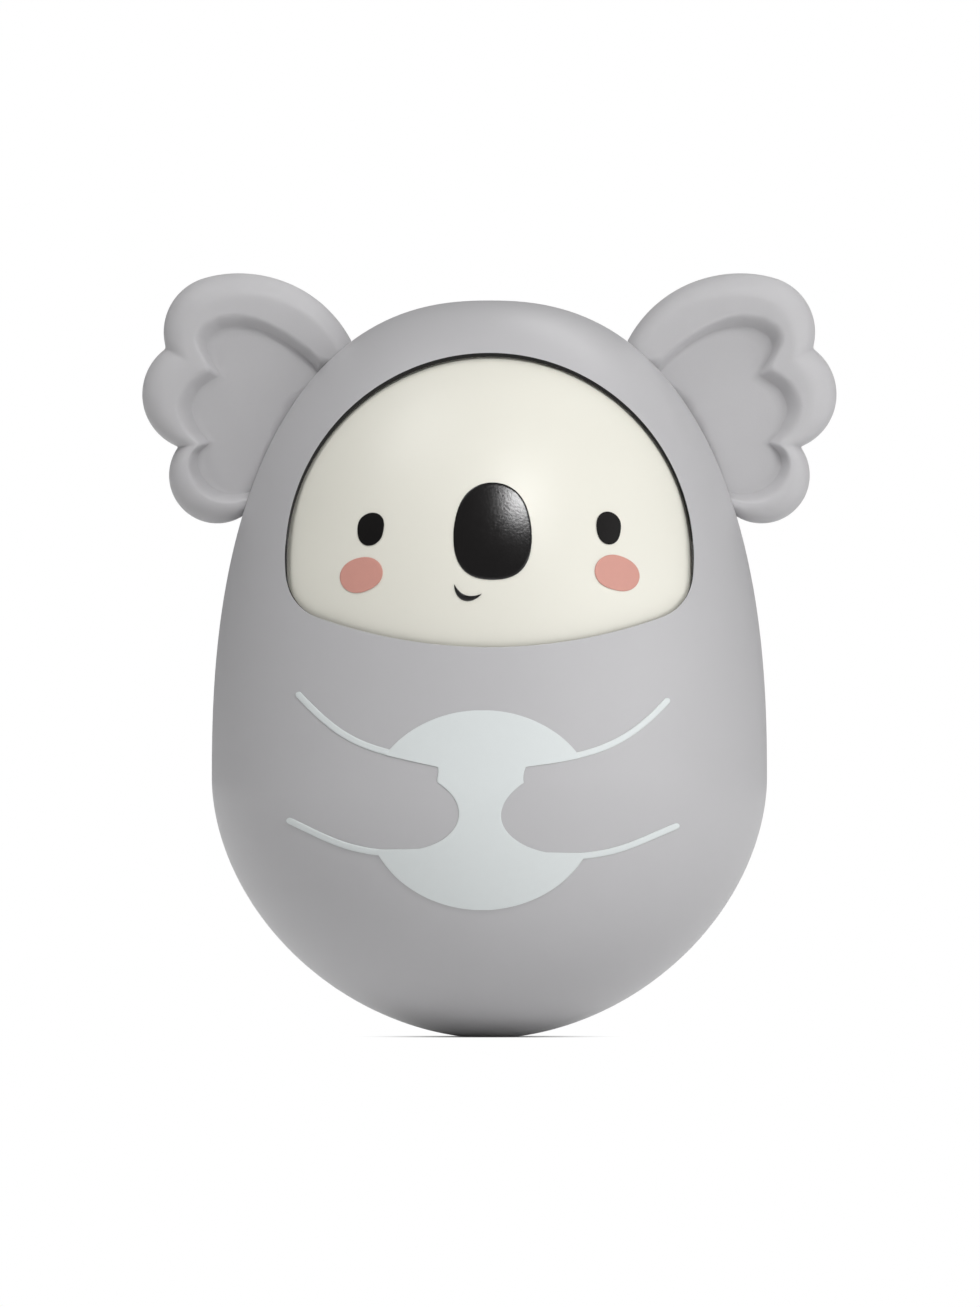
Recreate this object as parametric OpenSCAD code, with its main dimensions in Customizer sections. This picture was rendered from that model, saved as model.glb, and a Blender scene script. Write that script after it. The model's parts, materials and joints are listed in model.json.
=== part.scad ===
// Roly poly toy: a weighted egg body with a nodding face, soft ears and a chime inside.
// Millimetres. Origin at the centre of the resting flat, +Z up, the face looks along -Y.

/* [Body] */
// Widest diameter of the egg body
body_d = 83; // [79:0.5:90]
// Height of the egg body without the ears
body_h = 110; // [106:0.5:118]
// Height of the widest ring above the resting flat
waist_h = 38.6; // [36:0.1:42]
// Diameter of the flat that the toy rests on
base_flat_d = 8; // [5:0.5:12]
// Thickness of the two body shells
wall = 2; // [1.6:0.1:2.4]
// Exponent of the crown's curve, where 2 is an ellipse
crown_power_share = 2.37; // [2.25:0.01:2.5]
// Exponent of the bowl's curve, where 2 is an ellipse
bowl_power_share = 1.87; // [1.8:0.01:2]

/* [Face opening] */
// Radius of the round upper part of the opening
face_r = 30.4; // [29:0.1:31]
// Height of the centre of that round part
face_mid_h = 71.8; // [70.5:0.1:72.5]
// Height of the lowest point of the opening
chin_h = 58.2; // [57:0.1:60]
// Radius of the flat curve along the chin
chin_r = 76; // [60:1:100]
// Radius of the two lower corners
corner_r = 7; // [4:0.5:9]

/* [Nodding face] */
// Depth of the dome behind the lip at the brow
brow_recess = 1.25; // [1.1:0.05:1.8]
// Depth of the dome behind the lip at the shoulders, towards the nod axis
shoulder_recess = 1.5; // [1.3:0.05:2]
// Thickness of the dome
dome_t = 1.8; // [1.4:0.1:2]
// Height of the nod axis
nod_h = 65; // [64:0.5:66]
// Distance of the nod axis behind the seam
nod_back = 5.5; // [5:0.5:6.5]
// Gap between the dome and the hood
nod_gap = 0.35; // [0.25:0.05:0.4]
// How far the dome reaches behind the lip at the sides and the brow
dome_lap = 2.4; // [1.8:0.1:2.6]
// How far the dome reaches below the chin of the opening
chin_lap = 4.9; // [4:0.1:5.5]
// Diameter of the steel axle
axle_d = 4; // [3:0.5:5]

/* [Ears] */
// Width of an ear from its inner end to its outer edge
ear_w = 31.5; // [28:0.5:34]
// Height of an ear
ear_h = 38; // [34:0.5:42]
// Distance of the ears' inner ends from the middle plane
ear_inset = 20.5; // [19:0.5:22]
// Height of the ears' lowest point
ear_low_h = 76.5; // [74:0.5:79]
// Radius of the upper and middle lobes
lobe_r = 8.4; // [7.5:0.1:9]
// Radius of the lower lobe
low_lobe_r = 7.2; // [6.5:0.1:8]
// Thickness of an ear
ear_t = 9; // [8:0.5:10]
// How far the ears stand in front of the seam
ear_front = 1; // [0.5:0.5:2]
// Depth of the hollow in an ear's front
ear_hollow = 2; // [1:0.5:3]

/* [Weight] */
// Height of the top of the ballast weight
ballast_top_h = 20; // [17:0.5:21]
// Diameter of the ballast weight
ballast_d = 54; // [44:0.5:56]
// Distance of the weight's middle in front of the body's axis, which levels the toy
ballast_shift = 5; // [0:0.5:6]
// Thickness of the pad on the weight
pad_t = 2; // [1:0.5:3]
// Diameter of the pad on the weight
pad_d = 40; // [20:1:44]

/* [Chime] */
// Thickness of the chime's deck
deck_t = 2.5; // [2:0.25:3]
// Diameter of the rods
rod_d = 3; // [2:0.25:3.5]
// Length of the longest rod
rod_l = 27; // [26:0.5:28]
// Step in length from each rod to the next
rod_step = 1; // [0.5:0.25:1.5]
// Distance between rods
rod_pitch = 8; // [7.5:0.25:8.5]
// Distance from the strikers' pin to the middle of their heads
striker_l = 19; // [17:0.5:19.5]
// Diameter of a striker's head
striker_head_d = 7; // [5:0.5:7.5]
// Diameter of the strikers' pin
striker_pin_d = 2; // [1.5:0.25:2.5]

/* [Fasteners] */
// Diameter of the screws that close the body
shell_screw_d = 3; // [2.5:0.25:3.5]
// Length of the screws that close the body
shell_screw_l = 16; // [12:1:18]
// Diameter of the small screws inside
small_screw_d = 2.2; // [1.8:0.2:2.6]
// Length of the small screws inside
small_screw_l = 7; // [6:0.5:8]

/* [Prints] */
// Thickness of the printed ink
ink_t = 0.13; // [0.08:0.01:0.2]
// Diameter of the belly's pale disc
belly_d = 30.2; // [26:0.2:34]
// Height of the middle of the belly's print
belly_h = 33.95; // [32:0.1:36]
// Width of the printed arm lines
arm_line = 1.3; // [0.8:0.1:1.8]
// Width of the nose
nose_w = 11.6; // [9:0.1:14]
// Height of the nose
nose_h = 14.5; // [11:0.1:17]
// Distance between the eyes
eye_span = 35.3; // [28:0.1:40]

/* [Hidden] */
$fn = 64;

// How far cuts run past the faces that they cut
overrun = 1;
// Gap between pieces that are pressed or laid against each other on curved faces
seat_gap = 0.1;
// Gap of a shaft in its bush, on the radius
running_gap = 0.05;
// Gap between a piece and the loose side of its place
free_gap = 0.3;
// Steps along the egg's outline, round the dome and along a printed curve
egg_steps = 36;
dome_steps = 32;
arc_steps = 12;

// The body that the places on it are set out for: they follow the body's own height and width
set_out_h = 110;
set_out_d = 83;
tall_share = body_h / set_out_h;
wide_share = body_d / set_out_d;

// The egg's outline: two superellipse quarters that meet at the waist
body_r = body_d / 2;
base_r = base_flat_d / 2;
crown_rise = body_h - waist_h;
base_share = pow(base_r / body_r, bowl_power_share);
bowl_drop = waist_h / pow(1 - base_share, 1 / bowl_power_share);
base_turn = acos(sqrt(base_share));

// Exponent and half height of the quarter that holds a turn of the outline
function quarter_power(turn) = turn < 0 ? bowl_power_share : crown_power_share;
function quarter_rise(turn) = turn < 0 ? bowl_drop : crown_rise;

// Point of the outline at a turn from the waist, sunk by a depth along the inward normal
function egg_point(turn, depth) =
    let (
        power = quarter_power(turn),
        rise = quarter_rise(turn),
        out = pow(cos(turn), 2 / power),
        up = sign(turn) * pow(abs(sin(turn)), 2 / power),
        slope = [pow(out, power - 1) / body_r, sign(up) * pow(abs(up), power - 1) / rise],
        normal = slope / norm(slope)
    )
    [body_r * out, waist_h + rise * up] - depth * normal;

// Radius of the egg at a height, and the horizontal share of its normal there
function egg_radius(h) =
    let (
        power = h < waist_h ? bowl_power_share : crown_power_share,
        rise = h < waist_h ? bowl_drop : crown_rise
    )
    body_r * pow(1 - pow(abs(h - waist_h) / rise, power), 1 / power);
function egg_normal(h) =
    let (
        power = h < waist_h ? bowl_power_share : crown_power_share,
        rise = h < waist_h ? bowl_drop : crown_rise,
        out = pow(egg_radius(h) / body_r, power - 1) / body_r,
        up = sign(h - waist_h) * pow(abs(h - waist_h) / rise, power - 1) / rise
    )
    [out, up] / norm([out, up]);

// Radius of the egg at a height, sunk by a depth
function inner_radius(h, depth) = egg_radius(h) - depth / egg_normal(h)[0];

// Points of an arc, and of a quadratic curve through three control points
function arc_points(centre, radius, from, to) =
    [for (i = [0:arc_steps])
        let (turn = from + (to - from) * i / arc_steps)
        centre + radius * [cos(turn), sin(turn)]];
function curve_points(a, b, c) =
    [for (i = [0:arc_steps])
        let (s = i / arc_steps)
        (1 - s) * (1 - s) * a + 2 * s * (1 - s) * b + s * s * c];

// Face opening as set out: a round brow, a flat chin curve and two round corners tangent to both
chin_mid_h = chin_h + chin_r;
corner_mid_h =
    (pow(face_r - corner_r, 2) - pow(chin_r - corner_r, 2) - pow(face_mid_h, 2) + pow(chin_mid_h, 2))
    / (2 * (chin_mid_h - face_mid_h));
corner_x = sqrt(pow(face_r - corner_r, 2) - pow(corner_mid_h - face_mid_h, 2));
brow_turn = atan2(corner_mid_h - face_mid_h, corner_x);
chin_turn = atan2(corner_mid_h - chin_mid_h, corner_x);

// Heights of the nod axis and of the opening's ends on this body
axle_h = nod_h * tall_share;
brow_h = (face_mid_h + face_r) * tall_share;
lip_low_h = chin_h * tall_share;

// Dome: a spheroid about the nod axis, set behind the lip at the brow, the chin and the shoulders
chin_recess = 1.2;
brow_reach = norm([nod_back + egg_radius(brow_h), brow_h - axle_h]);
chin_reach = norm([nod_back + egg_radius(lip_low_h), axle_h - lip_low_h]);
dome_r = min(brow_reach - brow_recess, chin_reach - chin_recess);
shoulder_turn = 45;
shoulder_x = face_r * cos(shoulder_turn) * wide_share;
shoulder_h = (face_mid_h + face_r * sin(shoulder_turn)) * tall_share;
shoulder_y = sqrt(pow(egg_radius(shoulder_h), 2) - pow(shoulder_x, 2));
shoulder_reach = norm([nod_back + shoulder_y, shoulder_h - axle_h]) - shoulder_recess;
round_share = max(1 - pow(shoulder_reach / dome_r, 2), pow(shoulder_x / body_r, 2));
dome_half_w = shoulder_x / sqrt(round_share);
dome_lift = 0.9;
dome_trim_r = face_r + dome_lap;
dome_trim_h = face_mid_h + dome_lift;

// Room for the dome in the front shell: in front of the first plane and above the second
room_front = 7;
room_low_h = lip_low_h - chin_lap - free_gap;

// Bosses and screws that close the body
low_boss_h = 36;
low_boss_inset = 9;
low_boss_x = egg_radius(low_boss_h) - low_boss_inset;
top_boss_drop = 9;
top_boss_h = body_h - top_boss_drop;
top_boss_front = 7;
head_d_share = 1.9;
head_t_share = 0.7;
shell_head_d = shell_screw_d * head_d_share;
shell_head_t = shell_screw_d * head_t_share;
counterbore_d = shell_head_d + 2 * free_gap;
boss_wall = 1.8;
front_boss_d = shell_screw_d + 2 * boss_wall + free_gap;
rear_boss_d = counterbore_d + 2 * boss_wall;
shell_head_y = shell_screw_l / 2;
pilot_gap = 0.15;
small_head_d = small_screw_d * head_d_share;
small_head_t = small_screw_d * head_t_share;

// Weight, pad and deck, stacked in the bowl
ballast_gap = 0.3;
deck_low_h = ballast_top_h + pad_t;
deck_top_h = deck_low_h + deck_t;
deck_edge_gap = 0.8;
deck_r = inner_radius(deck_low_h, wall) - deck_edge_gap;
post_d = 7;
post_inset = 4.8;
post_turn = 33.7;
post_x = (deck_r - post_inset) * cos(post_turn);
post_y = (deck_r - post_inset) * sin(post_turn);
post_gap = 0.5;

// Chime: the rods hang from the block, clear of the deck, and follow the body's height and width
rod_count = 4;
rod_long = rod_l * tall_share;
rod_spread = rod_pitch * wide_share;
rod_clear = 2.5;
rod_sink = 5;
block_h = 6;
block_depth = 8;
block_screw_bite = 1.2;
block_low_h = deck_top_h + rod_clear + rod_long - rod_sink;
frame_top_h = block_low_h + block_h;
rod_y = block_depth / 2;

// Chime frame: cheeks on feet, a stop bar, and the pin that the strikers hang on
cheek_clear = 1.5;
cheek_x = rod_spread * (rod_count - 1) / 2 + rod_d / 2 + cheek_clear;
cheek_t = 2.5;
cheek_front = 12;
cheek_back = block_depth;
foot_l = 6.5;
foot_half_y = 5;
foot_t = 2.5;
foot_screw_out = 3.5;
pin_y = 5;
pin_drop = 1;
pin_h = block_low_h - pin_drop;
stop_depth = 3;
stop_drop = 2;
stop_h = 3;
striker_reach = striker_l + rod_long - rod_l;
striker_hub_wall = 1.5;
striker_hub_d = striker_pin_d + 2 * striker_hub_wall;
striker_stem_d = 2;
striker_head_l = rod_spread + rod_d;
striker_x = rod_spread;

// Nod axle, its seats in the rear shell and the yoke that carries the face
arm_t = 3;
arm_h = 8;
arm_clear = 0.5;
arm_x = cheek_x + cheek_t + small_head_t + arm_clear;
hub_d = 12;
bush_wall = 1.5;
bush_d = axle_d + 2 * bush_wall;
bush_l = arm_t + 2 * free_gap;
bar_depth = 13.5;
bar_y = nod_back - dome_r + bar_depth;
bar_t = 3;
bar_h = 8;
dome_boss_x = 11;
dome_boss_d = 6;
weight_d = 9;
weight_hub_d = 10;
weight_drop = 20;
weight_h = axle_h - weight_drop;
weight_wall_gap = 4.9;
weight_room = sqrt(pow(inner_radius(weight_h, wall), 2) - pow(arm_x + arm_t, 2));
weight_y = weight_room - weight_hub_d / 2 - weight_wall_gap;
weight_back = weight_y - nod_back;
seat_wall = 3;
seat_r = axle_d / 2 + seat_wall;
axle_end_gap = 1.3;
axle_half = sqrt(pow(inner_radius(axle_h, wall), 2) - pow(nod_back, 2)) - axle_end_gap;
spacer_share = 0.59;
seat_in_x = arm_x + bush_l + (axle_half - arm_x - bush_l) * spacer_share;
tongue_root = 4;
spacer_wall = 1.5;
spacer_d = axle_d + 2 * spacer_wall;
spacer_gap = 0.1;

// Ear lobes as [out, up] shares of the ear's width and height, and their hollows with radius shares
upper_lobe_shares = [[0.63, 0.77], [0.41, 0.763], [0.305, 0.708], [0.24, 0.618]];
middle_lobe_share = [0.732, 0.515];
low_lobe_share = [0.641, 0.19];
web_share = [0.43, 0.36];
web_r_share = 1.43;
hollow_lobe_shares = [[0.52, 0.62, 0.74], [0.63, 0.455, 0.5], [0.61, 0.22, 0.42], [0.45, 0.38, 0.95]];
ear_edge_steps = 6;
lobe_facets = 32;
ear_in_x = ear_inset * wide_share;
ear_base_h = ear_low_h * tall_share;
neck_rise = 14.5;
neck_h = ear_base_h + neck_rise;
neck_w = 14;
neck_t = 6;
neck_half_l = 5;
flange_lap = 2;
flange_t = 1.6;

// Prints on the face as set out, as places and sizes seen from the front
ink_gap = 0.02;
eye_h = 75.6;
eye_w = 3.9;
eye_tall = 5;
eye_tilt = 8;
nose_x = 0.5;
nose_mid_h = 75.4;
nose_swell_share = 0.06;
cheek_span = 37.6;
cheek_h = 68.8;
cheek_w = 6.6;
cheek_tall = 5;
cheek_tilt = 12;
mouth_x = -3.2;
mouth_h = 67.5;
mouth_r = 2.3;
mouth_t = 1.1;

// Printed arms, from the middle of the belly's disc: [out, up] as shares of the disc's radius
belly_x = -1.1;
belly_r = belly_d / 2;
arm_top_shares = [[1.83, 1.16], [1.1, 0.6], [0.43, 0.41]];
hand_shares = [[0.43, 0.41], [0.47, 0.33], [0.45, 0.25]];
palm_shares = [[0.45, 0.25], [0.01, -0.03], [0.45, -0.32]];
arm_low_shares = [[0.45, -0.32], [1, -0.7], [1.91, -0.09]];

// Colours
grey = [0.74, 0.73, 0.74];
cream = [0.93, 0.92, 0.87];
ink_black = [0.1, 0.09, 0.09];
blush = [0.86, 0.6, 0.55];
pale = [0.87, 0.89, 0.89];
steel = [0.7, 0.71, 0.73];
iron = [0.3, 0.3, 0.31];
white = [0.88, 0.88, 0.86];
bronze = [0.72, 0.55, 0.3];

// Plain shapes laid along the axes
module rod_along_x(d, from, to, y, h)
    translate([from, y, h]) rotate([0, 90, 0]) cylinder(d = d, h = to - from);

module rod_along_y(d, from, to, x, h)
    translate([x, from, h]) rotate([-90, 0, 0]) cylinder(d = d, h = to - from);

module box(low, high)
    translate(low) cube(high - low);

// An outline seen from the front, carried from one depth to another
module from_front(from, to)
    translate([0, to, 0]) rotate([90, 0, 0]) linear_extrude(to - from) children();

// An outline seen from the side, carried from one width to another
module from_side(from, to)
    translate([from, 0, 0]) rotate([90, 0, 90]) linear_extrude(to - from) children();

module both_sides() {
    children();
    mirror([1, 0, 0]) children();
}

// A screw along +Z: its head stands on the plane below the origin, its shank goes up
module screw(d, l, head_d, head_t) {
    translate([0, 0, -head_t]) cylinder(d = head_d, h = head_t);
    cylinder(d = d, h = l);
}

// The solid egg, sunk by a depth
function egg_outline(depth) =
    concat(
        [[0, egg_point(-base_turn, depth)[1]]],
        [for (i = [0:egg_steps - 1]) egg_point(-base_turn + (90 + base_turn) * i / egg_steps, depth)],
        [[0, body_h - depth]]
    );

module egg(depth)
    rotate_extrude() polygon(egg_outline(depth));

module egg_layer(depth, thickness)
    difference() {
        egg(depth);
        egg(depth + thickness);
    }

// Half of the hollow egg, behind the seam
module half_shell()
    rotate_extrude(angle = 180)
        polygon(concat(egg_outline(0), [for (i = [len(egg_outline(0)) - 1:-1:0]) egg_outline(wall)[i]]));

// The dome's spheroid about the nod axis, grown by a margin
module spheroid(margin)
    translate([0, nod_back, axle_h]) rotate([0, 90, 0]) rotate_extrude()
        polygon([for (i = [0:dome_steps])
            let (turn = -90 + 180 * i / dome_steps)
            [i == 0 || i == dome_steps ? 0 : (dome_r + margin) * cos(turn),
             (dome_half_w + margin) * sin(turn)]]);

module opening_outline()
    scale([wide_share, tall_share]) polygon(concat(
        arc_points([0, face_mid_h], face_r, brow_turn, 180 - brow_turn),
        arc_points([-corner_x, corner_mid_h], corner_r, 180 - brow_turn, 180 - chin_turn),
        arc_points([0, chin_mid_h], chin_r, 180 - chin_turn, 360 + chin_turn),
        arc_points([corner_x, corner_mid_h], corner_r, chin_turn, brow_turn)
    ));

// What stands on the wall inside, cut to end halfway into it
module wall_bound()
    intersection() {
        children();
        egg(wall / 2);
    }

module front_shell() {
    color(grey)
    difference() {
        union() {
            difference() {
                rotate([0, 0, 180]) rotate_extrude(angle = 180) polygon(egg_outline(0));
                difference() {
                    egg(wall);
                    box([-body_r, -body_r, room_low_h], [body_r, -room_front, body_h]);
                }
                intersection() {
                    spheroid(nod_gap);
                    box([-body_r, -body_r - overrun, room_low_h], [body_r, -room_front, body_h]);
                }
            }
            wall_bound() both_sides() rod_along_y(front_boss_d, -body_r, 0, low_boss_x, low_boss_h);
            wall_bound() top_boss(-top_boss_front, 0, front_boss_d);
            wall_bound() both_sides() post(-post_y);
            wall_bound() both_sides() seat_tongue();
        }
        from_front(-body_r - overrun, -room_front) opening_outline();
        both_sides() shell_pilot(low_boss_x, low_boss_h);
        shell_pilot(0, top_boss_h);
    }
}

module shell_pilot(x, h)
    rod_along_y(shell_screw_d - 2 * pilot_gap, shell_head_y - shell_screw_l - overrun, overrun, x, h);

// The boss under the crown, with the web that ties it to the wall
module top_boss(from, to, d) {
    rod_along_y(d, from, to, 0, top_boss_h);
    box([-boss_wall, from, top_boss_h], [boss_wall, to, body_h]);
}

// An upright post in the bowl that carries the deck
module post(y)
    translate([post_x, y, 0]) cylinder(d = post_d, h = deck_low_h);

// The tongue on the front shell that closes an axle seat, and its root on the wall
module seat_tongue() {
    box(
        [seat_in_x + free_gap, -tongue_root, axle_h - axle_d / 2 + free_gap],
        [axle_half, nod_back - axle_d / 2 - free_gap, axle_h + axle_d / 2 - free_gap]
    );
    box(
        [seat_in_x + free_gap, -tongue_root, axle_h - axle_d / 2 + free_gap],
        [body_r, 0, axle_h + axle_d / 2 - free_gap]
    );
}

module rear_shell() {
    color(grey)
    difference() {
        union() {
            half_shell();
            wall_bound() both_sides() rod_along_y(rear_boss_d, 0, body_r, low_boss_x, low_boss_h);
            wall_bound() top_boss(0, body_r, rear_boss_d);
            wall_bound() both_sides() post(post_y);
            wall_bound() both_sides() axle_seat();
        }
        both_sides() axle_slot();
        both_sides() shell_screw_hole(low_boss_x, low_boss_h);
        shell_screw_hole(0, top_boss_h);
        both_sides() post_pilot();
        both_sides() ear_neck(seat_gap);
    }
}

module axle_seat() {
    rod_along_x(2 * seat_r, seat_in_x, body_r, nod_back, axle_h);
    box([seat_in_x, 0, axle_h - seat_r], [body_r, nod_back, axle_h + seat_r]);
}

// The slot lets the axle in from the seam and ends in its round seat
module axle_slot() {
    rod_along_x(axle_d + 2 * running_gap, seat_in_x - overrun, axle_half + free_gap, nod_back, axle_h);
    box(
        [seat_in_x - overrun, -overrun, axle_h - axle_d / 2 - running_gap],
        [axle_half + free_gap, nod_back, axle_h + axle_d / 2 + running_gap]
    );
}

module shell_screw_hole(x, h) {
    rod_along_y(shell_screw_d + free_gap, -overrun, body_r, x, h);
    rod_along_y(counterbore_d, shell_head_y, body_r + overrun, x, h);
}

module post_pilot()
    translate([post_x, post_y, deck_top_h - small_screw_l - overrun])
        cylinder(d = small_screw_d - 2 * pilot_gap, h = small_screw_l + overrun);

module shell_screws() {
    color(steel)
    for (place = [[-low_boss_x, low_boss_h], [low_boss_x, low_boss_h], [0, top_boss_h]])
        translate([place[0], shell_head_y, place[1]]) rotate([90, 0, 0])
            screw(shell_screw_d - 2 * pilot_gap, shell_screw_l - overrun, shell_head_d, shell_head_t);
}

// Ear: round-edged lobes with a hollow front, a neck through the wall and a flange inside it
function ear_place(share) = [ear_in_x + ear_w * share[0], ear_base_h + ear_h * share[1]];

module ear_disc(place, r, fn)
    translate([place[0], ear_t / 2 - ear_front, place[1]]) rotate([90, 0, 0])
        rotate_extrude($fn = fn)
            polygon(concat(
                [[0, -ear_t / 2]],
                [for (i = [0:ear_edge_steps])
                    let (turn = -90 + 180 * i / ear_edge_steps)
                    [r - ear_t / 2 + ear_t / 2 * cos(turn), ear_t / 2 * sin(turn)]],
                [[0, ear_t / 2]]
            ));

module ear_neck(gap)
    translate([egg_radius(neck_h), 0, neck_h])
        rotate([0, -atan2(egg_normal(neck_h)[1], egg_normal(neck_h)[0]), 0])
            box([-neck_half_l, -gap, -neck_w / 2 - gap], [neck_half_l, neck_t + gap, neck_w / 2 + gap]);

module ear_flange()
    intersection() {
        egg_layer(wall + seat_gap, flange_t);
        translate([egg_radius(neck_h), 0, neck_h])
            rotate([0, -atan2(egg_normal(neck_h)[1], egg_normal(neck_h)[0]), 0])
                box(
                    [-neck_half_l - flange_t, seat_gap, -neck_w / 2 - flange_lap],
                    [0, neck_t + flange_lap, neck_w / 2 + flange_lap]
                );
    }

module ear() {
    difference() {
        union() {
            hull()
                for (share = upper_lobe_shares)
                    ear_disc(ear_place(share), lobe_r, lobe_facets);
            ear_disc(ear_place(middle_lobe_share), lobe_r, $fn);
            ear_disc(ear_place(low_lobe_share), low_lobe_r, $fn);
            ear_disc(ear_place(web_share), lobe_r * web_r_share, $fn);
        }
        for (share = hollow_lobe_shares)
            rod_along_y(
                2 * lobe_r * share[2], -ear_front - overrun, ear_hollow - ear_front,
                ear_place(share)[0], ear_place(share)[1]
            );
        egg(-seat_gap);
    }
    difference() {
        ear_neck(-seat_gap);
        egg(wall + seat_gap + flange_t);
    }
    ear_flange();
}

module ear_left() color(grey) mirror([1, 0, 0]) ear();

module ear_right() color(grey) ear();

// The face: a thin dome trimmed a little larger than the opening, with two bosses behind it
module dome_trim()
    from_front(-body_r - dome_r, -room_front - free_gap)
        scale([wide_share, tall_share]) intersection() {
            translate([0, dome_trim_h]) circle(r = dome_trim_r);
            translate([0, chin_mid_h]) circle(r = chin_r + chin_lap);
        }

module face_dome() {
    color(cream)
    difference() {
        union() {
            intersection() {
                difference() {
                    spheroid(0);
                    spheroid(-dome_t);
                }
                dome_trim();
            }
            intersection() {
                both_sides() rod_along_y(dome_boss_d, -body_r, bar_y, dome_boss_x, axle_h);
                spheroid(-dome_t / 2);
            }
        }
        both_sides() rod_along_y(
            small_screw_d - 2 * pilot_gap, bar_y - small_screw_l, bar_y + overrun, dome_boss_x, axle_h
        );
    }
}

module face_ink()
    intersection() {
        difference() {
            spheroid(ink_gap + ink_t);
            spheroid(ink_gap);
        }
        from_front(-body_r - dome_r, -room_front) scale([wide_share, tall_share]) children();
    }

module oval(w, h, tilt)
    rotate(tilt) polygon([for (i = [0:2 * arc_steps - 1])
        let (turn = 180 * i / arc_steps)
        [w / 2 * cos(turn), h / 2 * sin(turn)]]);

module eye_prints()
    color(ink_black)
    face_ink()
        both_sides() translate([eye_span / 2, eye_h]) oval(eye_w, eye_tall, -eye_tilt);

// The nose widens a little below its middle
module nose_print()
    color(ink_black)
    face_ink()
        translate([nose_x, nose_mid_h])
            polygon([for (i = [0:2 * arc_steps - 1])
                let (turn = 180 * i / arc_steps, swell_share = 1 - nose_swell_share * sin(turn))
                [nose_w / 2 * cos(turn) * swell_share, nose_h / 2 * sin(turn)]]);

module mouth_print()
    color(ink_black)
    face_ink()
        difference() {
            translate([mouth_x, mouth_h]) circle(r = mouth_r);
            translate([mouth_x + mouth_t / 2, mouth_h + mouth_t]) circle(r = mouth_r);
        }

module cheek_prints()
    color(blush)
    face_ink()
        both_sides() translate([cheek_span / 2, cheek_h]) oval(cheek_w, cheek_tall, -cheek_tilt);

// The belly: a pale disc with two grey arms laid over it, edged by pale lines
function belly_curve(shares) =
    curve_points(belly_r * shares[0], belly_r * shares[1], belly_r * shares[2]);

module arm_outline()
    polygon(concat(
        belly_curve(arm_top_shares), belly_curve(hand_shares), belly_curve(palm_shares),
        belly_curve(arm_low_shares)
    ));

// A line on the outer side of a curve
module curve_line(shares, side) {
    points = belly_curve(shares);
    polygon(concat(
        points,
        [for (i = [len(points) - 1:-1:0])
            let (
                along = points[min(i + 1, len(points) - 1)] - points[max(i - 1, 0)],
                across = [-along[1], along[0]] / norm(along)
            )
            points[i] + side * arm_line * across]
    ));
}

module belly_outline()
    difference() {
        union() {
            circle(r = belly_r);
            both_sides() curve_line(arm_top_shares, -1);
            both_sides() curve_line(arm_low_shares, -1);
        }
        both_sides() arm_outline();
    }

module belly_print()
    color(pale)
    intersection() {
        egg_layer(-ink_gap - ink_t, ink_t);
        from_front(-body_r - overrun, 0) translate([belly_x, belly_h]) belly_outline();
    }

// The weight fills the bowl under the pad, with notches for the deck's posts
module ballast_weight()
    color(iron)
    difference() {
        intersection() {
            egg(wall + ballast_gap);
            translate([0, -ballast_shift, 0]) cylinder(d = ballast_d, h = ballast_top_h);
        }
        post_notches();
    }

module post_notches()
    for (y = [-post_y, post_y])
        both_sides() translate([post_x, y, 0]) cylinder(d = post_d + 2 * post_gap, h = deck_top_h);

module ballast_pad()
    color(ink_black)
    difference() {
        translate([0, -ballast_shift, ballast_top_h]) cylinder(d = pad_d, h = pad_t);
        post_notches();
    }

module chime_deck()
    color(white)
    difference() {
        translate([0, 0, deck_low_h]) cylinder(r = deck_r, h = deck_t);
        both_sides() translate([post_x, post_y, deck_low_h - overrun])
            cylinder(d = small_screw_d + free_gap, h = deck_t + 2 * overrun);
        both_sides() translate([foot_screw_x(), 0, deck_low_h - overrun])
            cylinder(d = small_screw_d - 2 * pilot_gap, h = deck_t + 2 * overrun);
    }

function foot_screw_x() = cheek_x + cheek_t + foot_screw_out;

module small_screw(l)
    screw(small_screw_d - 2 * pilot_gap, l, small_head_d, small_head_t);

module deck_screws()
    color(steel)
    both_sides() translate([post_x, post_y, deck_top_h]) rotate([180, 0, 0]) small_screw(small_screw_l);

module chime_frame()
    color(white)
    difference() {
        union() {
            both_sides() box(
                [cheek_x, -cheek_front, deck_top_h],
                [cheek_x + cheek_t, cheek_back, frame_top_h]
            );
            both_sides() box(
                [cheek_x, -foot_half_y, deck_top_h],
                [cheek_x + cheek_t + foot_l, foot_half_y, deck_top_h + foot_t]
            );
            box(
                [-cheek_x, -cheek_front, pin_h - stop_drop - stop_h],
                [cheek_x, -cheek_front + stop_depth, pin_h - stop_drop]
            );
        }
        rod_along_x(striker_pin_d, -body_r, body_r, -pin_y, pin_h);
        both_sides() rod_along_x(
            small_screw_d + free_gap, cheek_x - overrun, cheek_x + cheek_t + overrun,
            rod_y, block_low_h + block_h / 2
        );
        both_sides() translate([foot_screw_x(), 0, deck_top_h - overrun])
            cylinder(d = small_screw_d + free_gap, h = foot_t + 2 * overrun);
    }

module frame_screws()
    color(steel)
    both_sides() translate([foot_screw_x(), 0, deck_top_h + foot_t]) rotate([180, 0, 0])
        small_screw(foot_t + deck_t);

// The block holds the rods by their upper ends
module chime_block()
    color(iron)
    difference() {
        box(
            [-cheek_x, rod_y - block_depth / 2, block_low_h],
            [cheek_x, rod_y + block_depth / 2, frame_top_h]
        );
        for (i = [0:rod_count - 1])
            translate([rod_x(i), rod_y, block_low_h - overrun]) cylinder(d = rod_d, h = rod_sink + overrun);
        both_sides() rod_along_x(
            small_screw_d - 2 * pilot_gap, cheek_x - block_screw_bite, cheek_x + overrun,
            rod_y, block_low_h + block_h / 2
        );
    }

function rod_x(i) = (i - (rod_count - 1) / 2) * rod_spread;

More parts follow.
